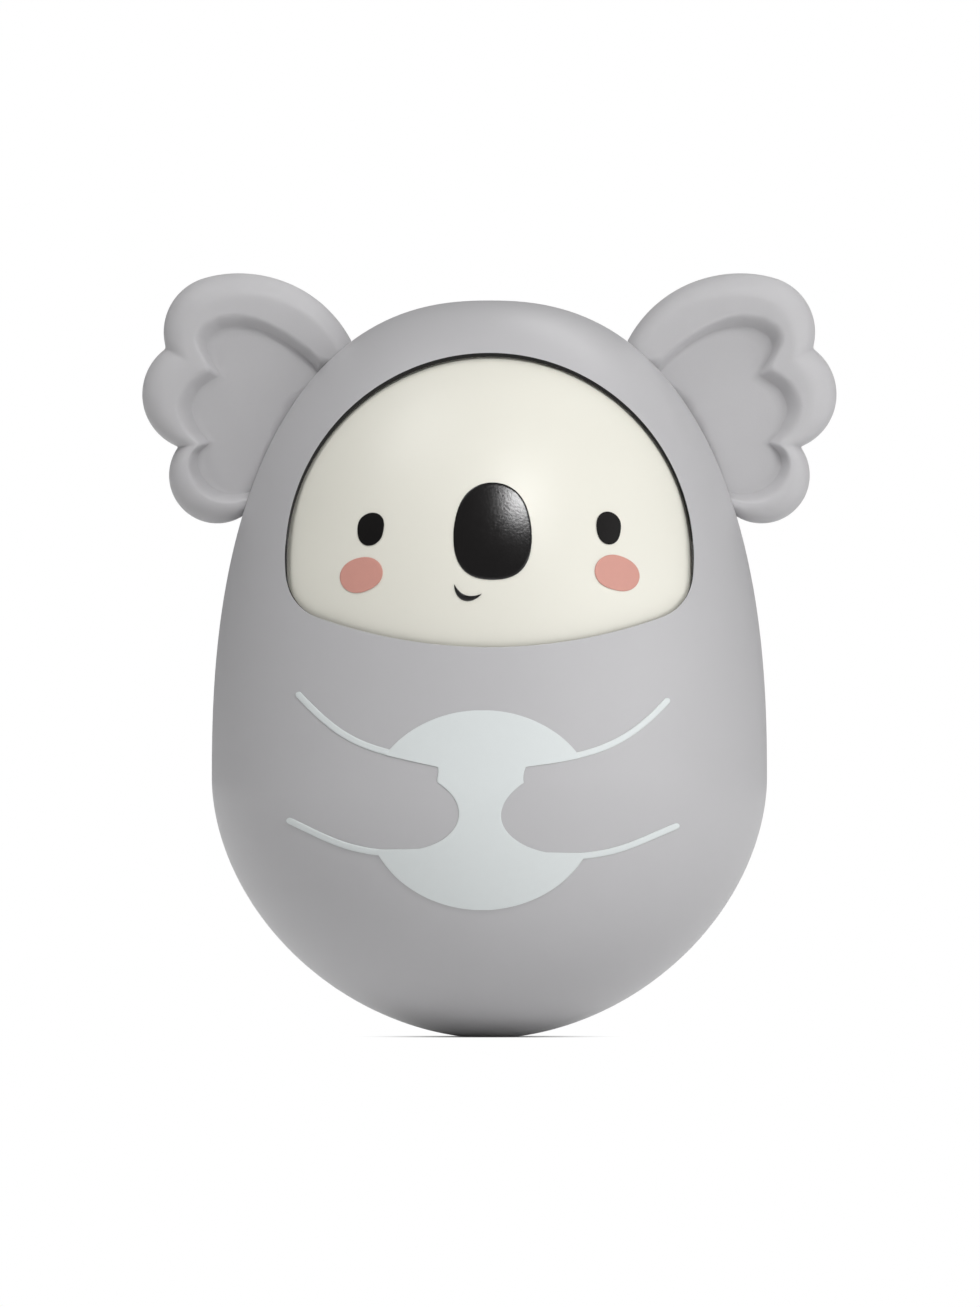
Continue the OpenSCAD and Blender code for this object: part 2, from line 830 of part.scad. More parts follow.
module block_screws()
    color(steel)
    both_sides() translate([cheek_x + cheek_t, rod_y, block_low_h + block_h / 2]) rotate([0, -90, 0])
        small_screw(cheek_t + block_screw_bite);

module chime_rod(i)
    color(steel)
    translate([rod_x(i), rod_y, block_low_h + rod_sink - rod_long + i * rod_step])
        cylinder(d = rod_d, h = rod_long - i * rod_step);

module striker_pin()
    color(steel)
    rod_along_x(striker_pin_d, -cheek_x - cheek_t, cheek_x + cheek_t, -pin_y, pin_h);

// A clapper: a long hub on the pin, a stem and a head that meets two rods
module striker()
    difference() {
        union() {
            rod_along_x(striker_hub_d, free_gap, cheek_x - free_gap, -pin_y, pin_h);
            translate([striker_x, -pin_y, pin_h - striker_reach])
                cylinder(d = striker_stem_d, h = striker_reach);
            rod_along_x(
                striker_head_d, striker_x - striker_head_l / 2, striker_x + striker_head_l / 2,
                -pin_y, pin_h - striker_reach
            );
        }
        rod_along_x(striker_pin_d + 2 * running_gap, -overrun, cheek_x + overrun, -pin_y, pin_h);
    }

module striker_left() color(white) mirror([1, 0, 0]) striker();

module striker_right() color(white) striker();

// The yoke: two arms on the axle, a bar behind the face and room for the weight at the back
arm_reach = norm([weight_back, weight_drop]);
arm_slant = atan2(-weight_drop, weight_back);

module arm_side()
    difference() {
        union() {
            translate([bar_y, axle_h - arm_h / 2]) square([nod_back - bar_y, arm_h]);
            translate([nod_back, axle_h]) circle(d = hub_d);
            translate([nod_back, axle_h]) rotate(arm_slant)
                translate([0, -arm_h / 2]) square([arm_reach, arm_h]);
            translate([weight_y, weight_h]) circle(d = weight_hub_d);
        }
        translate([nod_back, axle_h]) circle(d = bush_d);
        translate([weight_y, weight_h]) circle(d = small_screw_d + free_gap);
    }

module head_carrier()
    color(white)
    difference() {
        union() {
            both_sides() from_side(arm_x, arm_x + arm_t) arm_side();
            box(
                [-arm_x - arm_t, bar_y, axle_h - bar_h / 2],
                [arm_x + arm_t, bar_y + bar_t, axle_h + bar_h / 2]
            );
        }
        both_sides() rod_along_y(
            small_screw_d + free_gap, bar_y - overrun, bar_y + bar_t + overrun, dome_boss_x, axle_h
        );
    }

module face_screws()
    color(steel)
    both_sides() translate([dome_boss_x, bar_y + bar_t, axle_h]) rotate([90, 0, 0])
        small_screw(small_screw_l);

module head_axle()
    color(steel)
    rod_along_x(axle_d, -axle_half, axle_half, nod_back, axle_h);

module nod_bushes()
    color(bronze)
    both_sides() difference() {
        rod_along_x(bush_d, arm_x - free_gap, arm_x - free_gap + bush_l, nod_back, axle_h);
        rod_along_x(axle_d + 2 * running_gap, arm_x - overrun, arm_x + bush_l + overrun, nod_back, axle_h);
    }

module axle_spacers()
    color(white)
    both_sides() difference() {
        rod_along_x(
            spacer_d, arm_x + bush_l, seat_in_x - spacer_gap, nod_back, axle_h
        );
        rod_along_x(axle_d + 2 * spacer_gap, arm_x, seat_in_x + overrun, nod_back, axle_h);
    }

module counterweight()
    color(steel)
    difference() {
        rod_along_x(weight_d, -arm_x, arm_x, weight_y, weight_h);
        both_sides() rod_along_x(
            small_screw_d - 2 * pilot_gap, arm_x + arm_t - small_screw_l - overrun, arm_x + overrun,
            weight_y, weight_h
        );
    }

module counterweight_screws()
    color(steel)
    both_sides() translate([arm_x + arm_t, weight_y, weight_h]) rotate([0, -90, 0])
        small_screw(small_screw_l);

front_shell();
rear_shell();
face_dome();
ear_left();
ear_right();
eye_prints();
nose_print();
mouth_print();
cheek_prints();
belly_print();
ballast_weight();
ballast_pad();
chime_deck();
deck_screws();
chime_frame();
frame_screws();
chime_block();
block_screws();
chime_rod(0);  // chime_rod_1
chime_rod(1);  // chime_rod_2
chime_rod(2);  // chime_rod_3
chime_rod(3);  // chime_rod_4
striker_pin();
striker_left();
striker_right();
head_carrier();
head_axle();
nod_bushes();
axle_spacers();
counterweight();
counterweight_screws();
face_screws();
shell_screws();
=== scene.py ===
"""Roly poly toy: its shells, ears, face and prints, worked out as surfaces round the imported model."""

import json

import bmesh
import bpy
import numpy as np
from bpy.props import FloatProperty, FloatVectorProperty, PointerProperty
from bpy.types import Operator, Panel, PropertyGroup
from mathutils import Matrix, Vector


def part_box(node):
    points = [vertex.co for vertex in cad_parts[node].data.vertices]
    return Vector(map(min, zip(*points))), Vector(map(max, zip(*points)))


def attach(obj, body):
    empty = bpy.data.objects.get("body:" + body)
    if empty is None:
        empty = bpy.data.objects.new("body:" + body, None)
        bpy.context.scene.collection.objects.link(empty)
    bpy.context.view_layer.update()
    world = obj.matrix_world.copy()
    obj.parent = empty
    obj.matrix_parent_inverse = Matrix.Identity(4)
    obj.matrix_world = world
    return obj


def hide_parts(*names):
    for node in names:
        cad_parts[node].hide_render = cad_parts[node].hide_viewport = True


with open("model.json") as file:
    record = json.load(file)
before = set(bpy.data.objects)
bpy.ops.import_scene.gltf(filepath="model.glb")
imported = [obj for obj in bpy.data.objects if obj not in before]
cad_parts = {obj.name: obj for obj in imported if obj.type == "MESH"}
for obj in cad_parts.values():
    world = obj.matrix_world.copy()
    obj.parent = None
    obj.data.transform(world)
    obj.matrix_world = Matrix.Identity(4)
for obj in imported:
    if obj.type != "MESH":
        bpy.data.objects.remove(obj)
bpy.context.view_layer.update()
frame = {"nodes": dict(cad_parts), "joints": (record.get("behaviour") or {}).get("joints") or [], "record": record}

bl_info = {
    "name": "Roly Poly Toy",
    "version": (1, 0, 0),
    "blender": (4, 5, 0),
    "location": "3D View > Sidebar > Toy",
    "description": "Builds a weighted egg-shaped toy with scalloped ears and a nodding face",
    "category": "Mesh",
}

MM = 0.001
# Least divisor, the distance within which points are welded, and the length of edges that are dropped
TINY = 1e-9
WELD = 1e-6
LEAST_EDGE = 1e-7
NOD = next(joint for joint in frame["joints"] if joint["name"] == "face_nod")
NOD_Y, NOD_Z = NOD["pos_m"][1], NOD["pos_m"][2]

# Printed arms, four control points for each curve as [x, z] in millimetres, on the left and on the
# right side of the picture
LEFT_ARM = {
    "top": ((-28.95, 51.1), (-21.33, 42.94), (-18.54, 42.85), (-7.65, 40.4)),
    "hand": ((-7.65, 40.4), (-7.45, 39.6), (-7.85, 38.6), (-7.7, 38.1)),
    "palm": ((-7.7, 38.1), (-1.32, 34.02), (-5.33, 28.04), (-13.05, 28.02)),
    "low": ((-13.05, 28.02), (-21.28, 28.13), (-24.36, 30.52), (-29.9, 32.98)),
}
RIGHT_ARM = {
    "top": ((27.0, 50.2), (20.7, 43.36), (16.32, 41.67), (5.45, 40.45)),
    "hand": ((5.45, 40.45), (4.95, 39.6), (4.95, 38.6), (5.1, 38.05)),
    "palm": ((5.1, 38.05), (-2.64, 32.77), (4.26, 27.04), (12.04, 27.56)),
    "low": ((12.04, 27.56), (19.1, 27.93), (20.89, 29.3), (28.0, 32.2)),
}
MOUTH = ((-5.2, 67.5), (-4.75, 65.6), (-3.2, 64.7), (-1.15, 66.1))
# Face prints in millimetres: middle [x, z], mean radius, and [cosine, sine] waves of the radius
LEFT_EYE = ((-17.535, 75.7), 2.218, ((-0.141, 0.072), (-0.24, 0.141), (0.003, 0.024), (-0.03, -0.03)))
RIGHT_EYE = ((17.789, 75.85), 2.128, ((-0.069, 0.074), (-0.314, -0.064), (0.021, 0.037), (-0.001, 0.025)))
LEFT_CHEEK = ((-19.03, 68.98), 2.89, ((-0.028, -0.048), (0.281, 0.239), (0.02, 0.004)))
RIGHT_CHEEK = ((19.06, 69.13), 2.97, ((-0.064, 0.067), (0.34, -0.273), (-0.011, -0.021)))
NOSE = (
    (0.478, 75.25), 6.63,
    ((0.0, -0.033), (-0.752, 0.0), (0.0, -0.163), (-0.105, 0.0), (0.0, 0.044), (0.044, 0.0)),
)
MOUTH_HALF_W = 0.43 * MM
# Width of the dark gap over the face in millimetres, by the turn in degrees from +X; the ledge
# with painted shade reaches in over the face by this width
GAP_TURNS = (-180.0, -170.0, -160.0, -15.0, -8.0, 0.0, 30.0, 60.0, 90.0, 110.0, 130.0, 150.0, 170.0, 180.0)
GAP_WIDTHS = (0.33, 0.16, 0.0, 0.0, 0.12, 0.29, 0.35, 0.48, 0.56, 0.6, 0.56, 0.45, 0.36, 0.33)

# Ear outline in millimetres from the middle plane and from the floor: a round carried along a curve
# makes the long lobe, and circles [out, up, radius] make the rest
LONG_LOBE = ((40.3, 105.3), (36.5, 106.45), (30.6, 105.2), (28.0, 99.9))
LONG_LOBE_R = 8.4 * MM
EAR_CIRCLES = np.array(((43.5, 96.0, 8.4), (40.7, 83.9, 7.2), (34.0, 90.0, 12.0))) * MM
EAR_HUB = np.array((25.0, 90.0)) * MM
# Edge of the ear's hollow, [out, up] in millimetres, from the crown round to the lower end
HOLLOW_EDGE = np.array((
    (21.0, 97.0), (25.5, 99.2), (28.2, 101.9), (31.1, 104.0), (34.0, 105.5), (36.75, 106.1),
    (39.6, 105.8), (41.6, 104.7), (42.3, 103.2), (42.0, 101.9), (40.9, 100.2), (39.8, 98.8),
    (41.6, 98.0), (43.3, 96.7), (44.2, 95.0), (44.5, 93.9), (44.3, 92.8), (43.2, 90.4),
    (41.3, 88.6), (42.8, 88.0), (43.5, 86.9), (43.6, 85.4), (43.1, 84.0), (41.7, 82.3),
    (39.6, 81.2), (36.5, 81.2), (33.0, 82.5),
)) * MM

# Lamps: place, aim, width, height and watts
LAMPS = {
    "key_softbox": ((0.36, -0.98, 0.9), (0.0, 0.0, 0.06), 0.3, 0.3, 7.5),
    "side_softbox": ((1.15, -0.2, 0.42), (0.0, 0.0, 0.06), 0.8, 0.8, 2.0),
    "fill_softbox": ((-0.6, -0.25, 1.1), (0.0, 0.0, 0.06), 0.6, 0.6, 4.0),
    "low_card": ((0.42, -0.36, 0.1), (0.0, 0.0, 0.03), 0.5, 0.14, 0.5),
    "top_strip": ((0.34, 0.52, 0.86), (0.0, 0.0, 0.1), 0.6, 0.1, 1.0),
}
WHITE = (1.0, 1.0, 1.0, 1.0)
SURROUND_LIGHT = 0.2
FLOOR_MATT = (0.84, 0.84, 0.84, 1.0)
# Distances from the middle between which the matt floor turns white
FLOOR_FADE = (0.003, 0.021)
PICTURE_H = 0.1953
LENS_MM = 1100.0
CAMERA_REACH = 20.0
CAMERA_X, CAMERA_Z = 0.00009, 0.05725


def length(name, description, default):
    """A size in metres for the sidebar."""
    return FloatProperty(name=name, description=description, default=default, unit="LENGTH", precision=5)


def share(name, description, default):
    """A plain number for the sidebar."""
    return FloatProperty(name=name, description=description, default=default, precision=3)


def colour(name, description, default):
    """A linear colour for the sidebar."""
    return FloatVectorProperty(
        name=name, description=description, default=default, subtype="COLOR", size=3, min=0.0, max=1.0
    )


class ToySizes(PropertyGroup):
    """Sizes of the surfaces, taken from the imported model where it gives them."""

    body_r: length("Body radius", "Radius of the widest ring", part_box("rear_shell")[1].x)
    body_h: length("Body height", "Height of the crown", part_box("front_shell")[1].z)
    waist_h: length("Waist height", "Height of the widest ring", 0.0386)
    flat_r: length("Flat radius", "Radius of the flat that the toy rests on", 0.004)
    crown_power: share("Crown power", "Exponent of the crown's curve", 2.37)
    bowl_power: share("Bowl power", "Exponent of the bowl's curve", 1.87)
    wall: length("Wall", "Thickness of the shells", 0.002)
    face_r: length("Opening radius", "Radius of the round part of the face opening", 0.0304)
    face_mid_h: length("Opening height", "Height of the middle of the round part", 0.0716)
    chin_h: length("Chin height", "Lowest point of the face opening", 0.0582)
    chin_r: length("Chin radius", "Radius of the curve along the chin", 0.076)
    corner_r: length("Corner radius", "Radius of the opening's lower corners", 0.007)
    lip_r: length("Lip rounding", "Rounding of the opening's edge", 0.00008)
    lip_undercut: length("Lip undercut", "How far the lip's wall leans back under its edge", 0.0004)
    dome_r: length("Dome radius", "Radius of the face about the nod axis", NOD_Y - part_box("face_dome")[0].y)
    dome_half_w: length("Dome half width", "Half width of the face's spheroid", 0.0384)
    corner_full: length("Corner fullness", "How much fuller the face is at its lower corners", 0.00102)
    corner_x: length("Corner place", "Distance of those corners from the middle", 0.0284)
    corner_top: length("Fullness top", "Height where the fullness begins", 0.08)
    corner_low: length("Fullness foot", "Height where the fullness is whole", 0.063)
    # The ledge carries painted shade: a dark sheet standing in for the shadow in the gap
    ledge_t: length("Ledge", "Thickness of the dark ledge in the gap between the lip and the face", 0.0002)
    nod_rise: length("Nod rise", "How far the face's corners rise when it nods up", 0.0024)
    dome_t: length("Dome wall", "Thickness of the face", 0.0018)
    nod_gap: length("Nod gap", "Gap between the face and the shell behind the lip", 0.00035)
    trim_r: length("Dome trim radius", "Radius of the face's hidden upper edge", 0.0328)
    trim_h: length("Dome trim height", "Height of the middle of that edge", 0.0727)
    chin_lap: length("Chin lap", "How far the face reaches below the chin", 0.0049)
    seam_gap: length("Seam gap", "Half the gap between the shells", 0.000004)
    seam_r: length("Seam rounding", "Rounding of the shells' edges at the seam", 0.00018)
    ear_front: length("Ear front", "How far the ears stand in front of the seam", 0.001)
    ear_t: length(
        "Ear thickness", "Thickness of the ears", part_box("ear_left")[1].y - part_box("ear_left")[0].y
    )
    ear_hollow: length("Ear hollow", "Depth of the hollow in an ear", 0.0023)
    ear_wall: length("Ear wall", "Width of the rim's slope into the hollow", 0.0026)
    ear_roll: length("Ear roll", "Distance of the rim's crest from its outer edge", 0.0042)
    ink_low: length("Ink gap", "Distance of the ink's underside from its ground", 0.00002)
    ink_top: length("Ink height", "Distance of the ink's face from its ground", 0.00015)
    belly_x: length("Belly middle", "Sideways place of the belly's print", -0.0011)
    belly_h: length("Belly height", "Height of the belly's print", 0.03402)
    belly_half_w: length("Belly half width", "Half the width of the belly's disc", 0.0172)
    belly_half_h: length("Belly half height", "Half the height of the belly's disc", 0.01483)
    arm_line: length("Arm line", "Width of the printed arm lines", 0.00093)
    well_r: length("Well radius", "Radius of the screw wells", 0.00315)
    well_floor: length("Well floor", "Depth that the wells reach to, behind the seam", 0.008)
    boss_r: length("Boss radius", "Radius of the bosses round the wells", 0.00495)
    low_well_x: length("Low well place", "Distance of the low wells from the middle", 0.0323)
    low_well_h: length("Low well height", "Height of the low wells", 0.036)
    top_well_h: length("Top well height", "Height of the top well", 0.101)
    screw_head_r: length("Screw head radius", "Radius of the screws' heads", 0.00285)
    screw_r: length("Screw radius", "Radius of the screws' shanks", 0.00135)


class ToyColours(PropertyGroup):
    """Colours of the finishes, linear."""

    grey: colour("Shell grey", "Moulded plastic of the body", (0.518, 0.513, 0.525))
    ear_grey: colour("Ear grey", "Soft rubber of the ears", (0.535, 0.529, 0.54))
    cream: colour("Face cream", "Moulded plastic of the face", (0.83, 0.815, 0.73))
    # Painted shade: a near-black that stands in for the shadow in the gap round the face
    gap_painted_shade: colour("Groove", "Dark of the gap round the face", (0.011, 0.01, 0.007))
    black: colour("Black ink", "Eyes, nose and mouth", (0.005, 0.0042, 0.0042))
    blush: colour("Blush ink", "Cheeks", (0.66, 0.32, 0.265))
    pale: colour("Pale ink", "Belly print", (0.735, 0.775, 0.775))
    white: colour("White plastic", "Inner mouldings", (0.75, 0.75, 0.72))
    iron: colour("Cast iron", "Ballast weight", (0.12, 0.12, 0.125))
    pad: colour("Black rubber", "Ballast pad", (0.02, 0.02, 0.02))
    steel: colour("Steel", "Screws, rods and pins", (0.56, 0.57, 0.58))
    aluminium: colour("Aluminium", "Chime block", (0.7, 0.71, 0.72))
    bronze: colour("Bronze", "Axle bushes", (0.55, 0.38, 0.16))


def along(*parts):
    """Stacks coordinate arrays as points."""
    return np.stack(np.broadcast_arrays(*parts), axis=-1)


def along_y(distance):
    """A step along Y."""
    return np.array((0.0, distance, 0.0))


def full_turn(count):
    """Even angles once round."""
    return 2.0 * np.pi * np.arange(count) / count


def unit_steps(path):
    """The direction of a path at each of its points: its steps over their lengths."""
    step = np.gradient(path, axis=0)
    return step / np.linalg.norm(step, axis=1, keepdims=True)


def capped(rows):
    """Rows of points closed at both ends: the mean of the first row and of the last, as rows."""
    first, last = (np.broadcast_to(rows[i].mean(axis=0), rows[:1].shape) for i in (0, -1))
    return np.concatenate((first, rows, last))


def ease(count):
    """Steps from 0 to 1 that crowd at both ends: three times the square less twice the cube."""
    step = np.linspace(0.0, 1.0, count)
    return step * step * (3.0 - 2.0 * step)


def bend(a, corner, b, count):
    """Rows of a quadratic curve from a to b that rounds off the corner, without its two ends."""
    t = np.linspace(0.0, 1.0, count + 2)[1:-1, None, None]
    return (1.0 - t) ** 2 * a + 2.0 * t * (1.0 - t) * corner + t * t * b


def rows_between(a, b, shares):
    """Rows of points that lie between two rows at the given shares."""
    t = np.asarray(shares)[:, None, None]
    return (1.0 - t) * a + t * b


def curve(points, count):
    """A cubic curve for four control points in millimetres: its ends and the two it leans to."""
    a, b, c, d = np.array(points) * MM
    t = np.linspace(0.0, 1.0, count)[:, None]
    return (1.0 - t) ** 3 * a + 3.0 * t * (1.0 - t) ** 2 * b + 3.0 * t * t * (1.0 - t) * c + t**3 * d


def smooth(share_in):
    """Three times the square less twice the cube, held between 0 and 1."""
    held = np.clip(share_in, 0.0, 1.0)
    return held * held * (3.0 - 2.0 * held)


class Egg:
    """The body's surface: out to a power plus rise to the same power is one, turned about the
    upright axis, with one exponent above the waist and one below it, cut flat at the floor."""

    def __init__(self, size):
        self.r, self.waist = size.body_r, size.waist_h
        self.crown_power, self.bowl_power = size.crown_power, size.bowl_power
        self.crown_rise = size.body_h - size.waist_h
        flat_share = (size.flat_r / size.body_r) ** size.bowl_power
        self.bowl_drop = size.waist_h / (1.0 - flat_share) ** (1.0 / size.bowl_power)
        self.middle = np.array((0.0, 0.0, size.waist_h))

    def quarter(self, up):
        """Exponent and half height of the quarter that holds each height above the waist."""
        below = up < 0.0
        return (
            np.where(below, self.bowl_power, self.crown_power),
            np.where(below, self.bowl_drop, self.crown_rise),
        )

    def normal(self, spot):
        """Outward normals: the gradient of the body's equation."""
        out = np.hypot(spot[..., 0], spot[..., 1])
        up = spot[..., 2] - self.waist
        power, rise = self.quarter(up)
        side = (out / self.r) ** (power - 1.0) / self.r / np.maximum(out, TINY)
        tall = np.sign(up) * (np.abs(up) / rise) ** (power - 1.0) / rise
        slope = along(side * spot[..., 0], side * spot[..., 1], tall)
        slope[spot[..., 2] < WELD] = (0.0, 0.0, -1.0)
        return slope / np.linalg.norm(slope, axis=-1, keepdims=True)

    def on_ray(self, way, depth=0.0):
        """Points where rays from the middle of the waist leave the body, sunk by a depth."""
        up = way[..., 2]
        power, rise = self.quarter(up)
        out = np.hypot(way[..., 0], way[..., 1])
        reach = ((out / self.r) ** power + (np.abs(up) / rise) ** power) ** (-1.0 / power)
        to_floor = self.waist / np.maximum(-up, TINY)
        reach = np.where(up < 0.0, np.minimum(reach, to_floor), reach)
        spot = self.middle + way * reach[..., None]
        spot[..., 2] = np.maximum(spot[..., 2], 0.0)
        return spot - depth * self.normal(spot)

    def radius(self, height):
        """Radius of the body at each height."""
        up = height - self.waist
        power, rise = self.quarter(up)
        return self.r * np.maximum(1.0 - (np.abs(up) / rise) ** power, 0.0) ** (1.0 / power)

    def seen(self, x, z, lift=0.0, side=-1.0):
        """Points of the front (or, with side 1, the back) at places seen along Y, raised by a lift."""
        spot = along(x, side * np.sqrt(np.maximum(self.radius(z) ** 2 - x * x, 0.0)), z)
        return spot + np.asarray(lift)[..., None] * self.normal(spot)


class Dome:
    """The face's surface: a spheroid about the nod axis, made fuller towards its lower corners. The
    fullness grows with a power of the distance from the middle plane and fades out upwards."""

    def __init__(self, size):
        self.r, self.half_w = size.dome_r, size.dome_half_w
        self.full, self.full_x = size.corner_full, size.corner_x
        self.full_top, self.full_low = size.corner_top, size.corner_low

    def fullness(self, x, z):
        """How far the spheroid is grown at each place."""
        power = 1.6
        fade = smooth((self.full_top - z) / (self.full_top - self.full_low))
        return self.full * (np.abs(x) / self.full_x) ** power * fade

    def seen(self, x, z, lift=0.0, drop=0.0):
        """Points of the front at places seen along Y, with the surface grown by a lift and its
        fullness taken from a little lower, as when the face has nodded up."""
        grow = lift + self.fullness(x, z - drop)
        square = (self.r + grow) ** 2 * (1.0 - (x / (self.half_w + grow)) ** 2) - (z - NOD_Z) ** 2
        return along(x, NOD_Y - np.sqrt(np.maximum(square, 0.0)), z)


class Skin:
    """Grids of points that become one welded, closed mesh with outward faces."""

    def __init__(self):
        self.spots, self.quads, self.shades, self.count = [], [], [], 0

    def grid(self, spots, round_rows=False, round_columns=False, keep=None, shade=0.0):
        """Adds a grid of points as quads, closed in a direction where that is asked for, and gives the
        skin. The shade goes with each point as an attribute."""
        rows, columns = spots.shape[:2]
        index = self.count + np.arange(rows * columns).reshape(rows, columns)
        if round_rows:
            index = np.vstack((index, index[:1]))
        if round_columns:
            index = np.hstack((index, index[:, :1]))
        quads = along(index[:-1, :-1], index[:-1, 1:], index[1:, 1:], index[1:, :-1])
        self.quads.append(quads[keep] if keep is not None else quads.reshape(-1, 4))
        self.spots.append(spots.reshape(-1, 3))
        self.shades.append(np.broadcast_to(shade, spots.shape[:2]).ravel())
        self.count += rows * columns
        return self

    def piece(self, name, finish):
        """Makes the object: equal points are welded and normals turned outwards."""
        mesh = bpy.data.meshes.new(name)
        mesh.from_pydata(np.concatenate(self.spots).tolist(), [], np.concatenate(self.quads).tolist())
        shades = mesh.attributes.new("shade", "FLOAT", "POINT")
        shades.data.foreach_set("value", np.concatenate(self.shades).astype(np.float32))
        work = bmesh.new()
        work.from_mesh(mesh)
        bmesh.ops.remove_doubles(work, verts=work.verts, dist=WELD)
        bmesh.ops.dissolve_degenerate(work, edges=work.edges, dist=LEAST_EDGE)
        bmesh.ops.recalc_face_normals(work, faces=work.faces)
        work.to_mesh(mesh)
        work.free()
        mesh.polygons.foreach_set("use_smooth", np.ones(len(mesh.polygons), bool))
        mesh.materials.append(finish)
        thing = bpy.data.objects.new(name, mesh)
        bpy.context.scene.collection.objects.link(thing)
        return thing


def rounded_lens(mid_h, r, chin_mid_h, chin_r, corner_r, count):
    """A round top and a flat lower curve joined by corners tangent to both: points spread evenly
    along the outline from its top towards -X, and the outward direction at each."""
    corner_h = (
        (r - corner_r) ** 2 - (chin_r - corner_r) ** 2 - mid_h**2 + chin_mid_h**2
    ) / (2.0 * (chin_mid_h - mid_h))
    corner_x = np.sqrt((r - corner_r) ** 2 - (corner_h - mid_h) ** 2)
    brow = np.arctan2(corner_h - mid_h, corner_x)
    chin = np.arctan2(corner_h - chin_mid_h, corner_x)
    turns, steps = 2.0 * np.pi, 240
    arcs = (
        (0.0, mid_h, r, np.pi / 2.0, np.pi - brow),
        (-corner_x, corner_h, corner_r, np.pi - brow, np.pi - chin),
        (0.0, chin_mid_h, chin_r, np.pi - chin, turns + chin),
        (corner_x, corner_h, corner_r, turns + chin, turns + brow),
        (0.0, mid_h, r, turns + brow, turns + np.pi / 2.0),
    )
    turn = np.concatenate([np.linspace(a, b, steps) for _, _, _, a, b in arcs])
    mid_x, mid_z, radius = (np.repeat([arc[i] for arc in arcs], steps) for i in range(3))
    x, z = mid_x + radius * np.cos(turn), mid_z + radius * np.sin(turn)
    run = np.concatenate(((0.0,), np.cumsum(np.hypot(np.diff(x), np.diff(z)))))
    even = np.linspace(0.0, run[-1], count, endpoint=False)
    turn = np.interp(even, run, turn)
    return np.interp(even, run, x), np.interp(even, run, z), np.cos(turn), np.sin(turn)


def to_disc(egg, spot):
    """Flattens points of the front: distance is the angle from straight ahead at the waist's middle."""
    way = spot - egg.middle
    off = np.arccos(np.clip(-way[..., 1] / np.linalg.norm(way, axis=-1), -1.0, 1.0))
    side = np.hypot(way[..., 0], way[..., 2])
    return along(off * way[..., 0] / side, off * way[..., 2] / side)


def from_disc(disc):
    """The unit ray for each point of that flat picture."""
    off = np.hypot(disc[..., 0], disc[..., 1])
    share_out = np.sin(off) / np.maximum(off, TINY)
    return along(share_out * disc[..., 0], -np.cos(off), share_out * disc[..., 1])


def seam_rows(egg, size, way, side):
    """Rows at the seam: the last row of the outer face, the rounded edge, and the inner edge."""
    rim = egg.on_ray(way)
    normal = egg.normal(rim)
    push = along_y(side)
    edge = rim + size.seam_gap * push
    start = edge + size.seam_r * push
    turned = edge - size.seam_r * normal
    inner = edge - size.wall * normal
    return start, np.concatenate((bend(start, edge, turned, 3), turned[None], inner[None]))


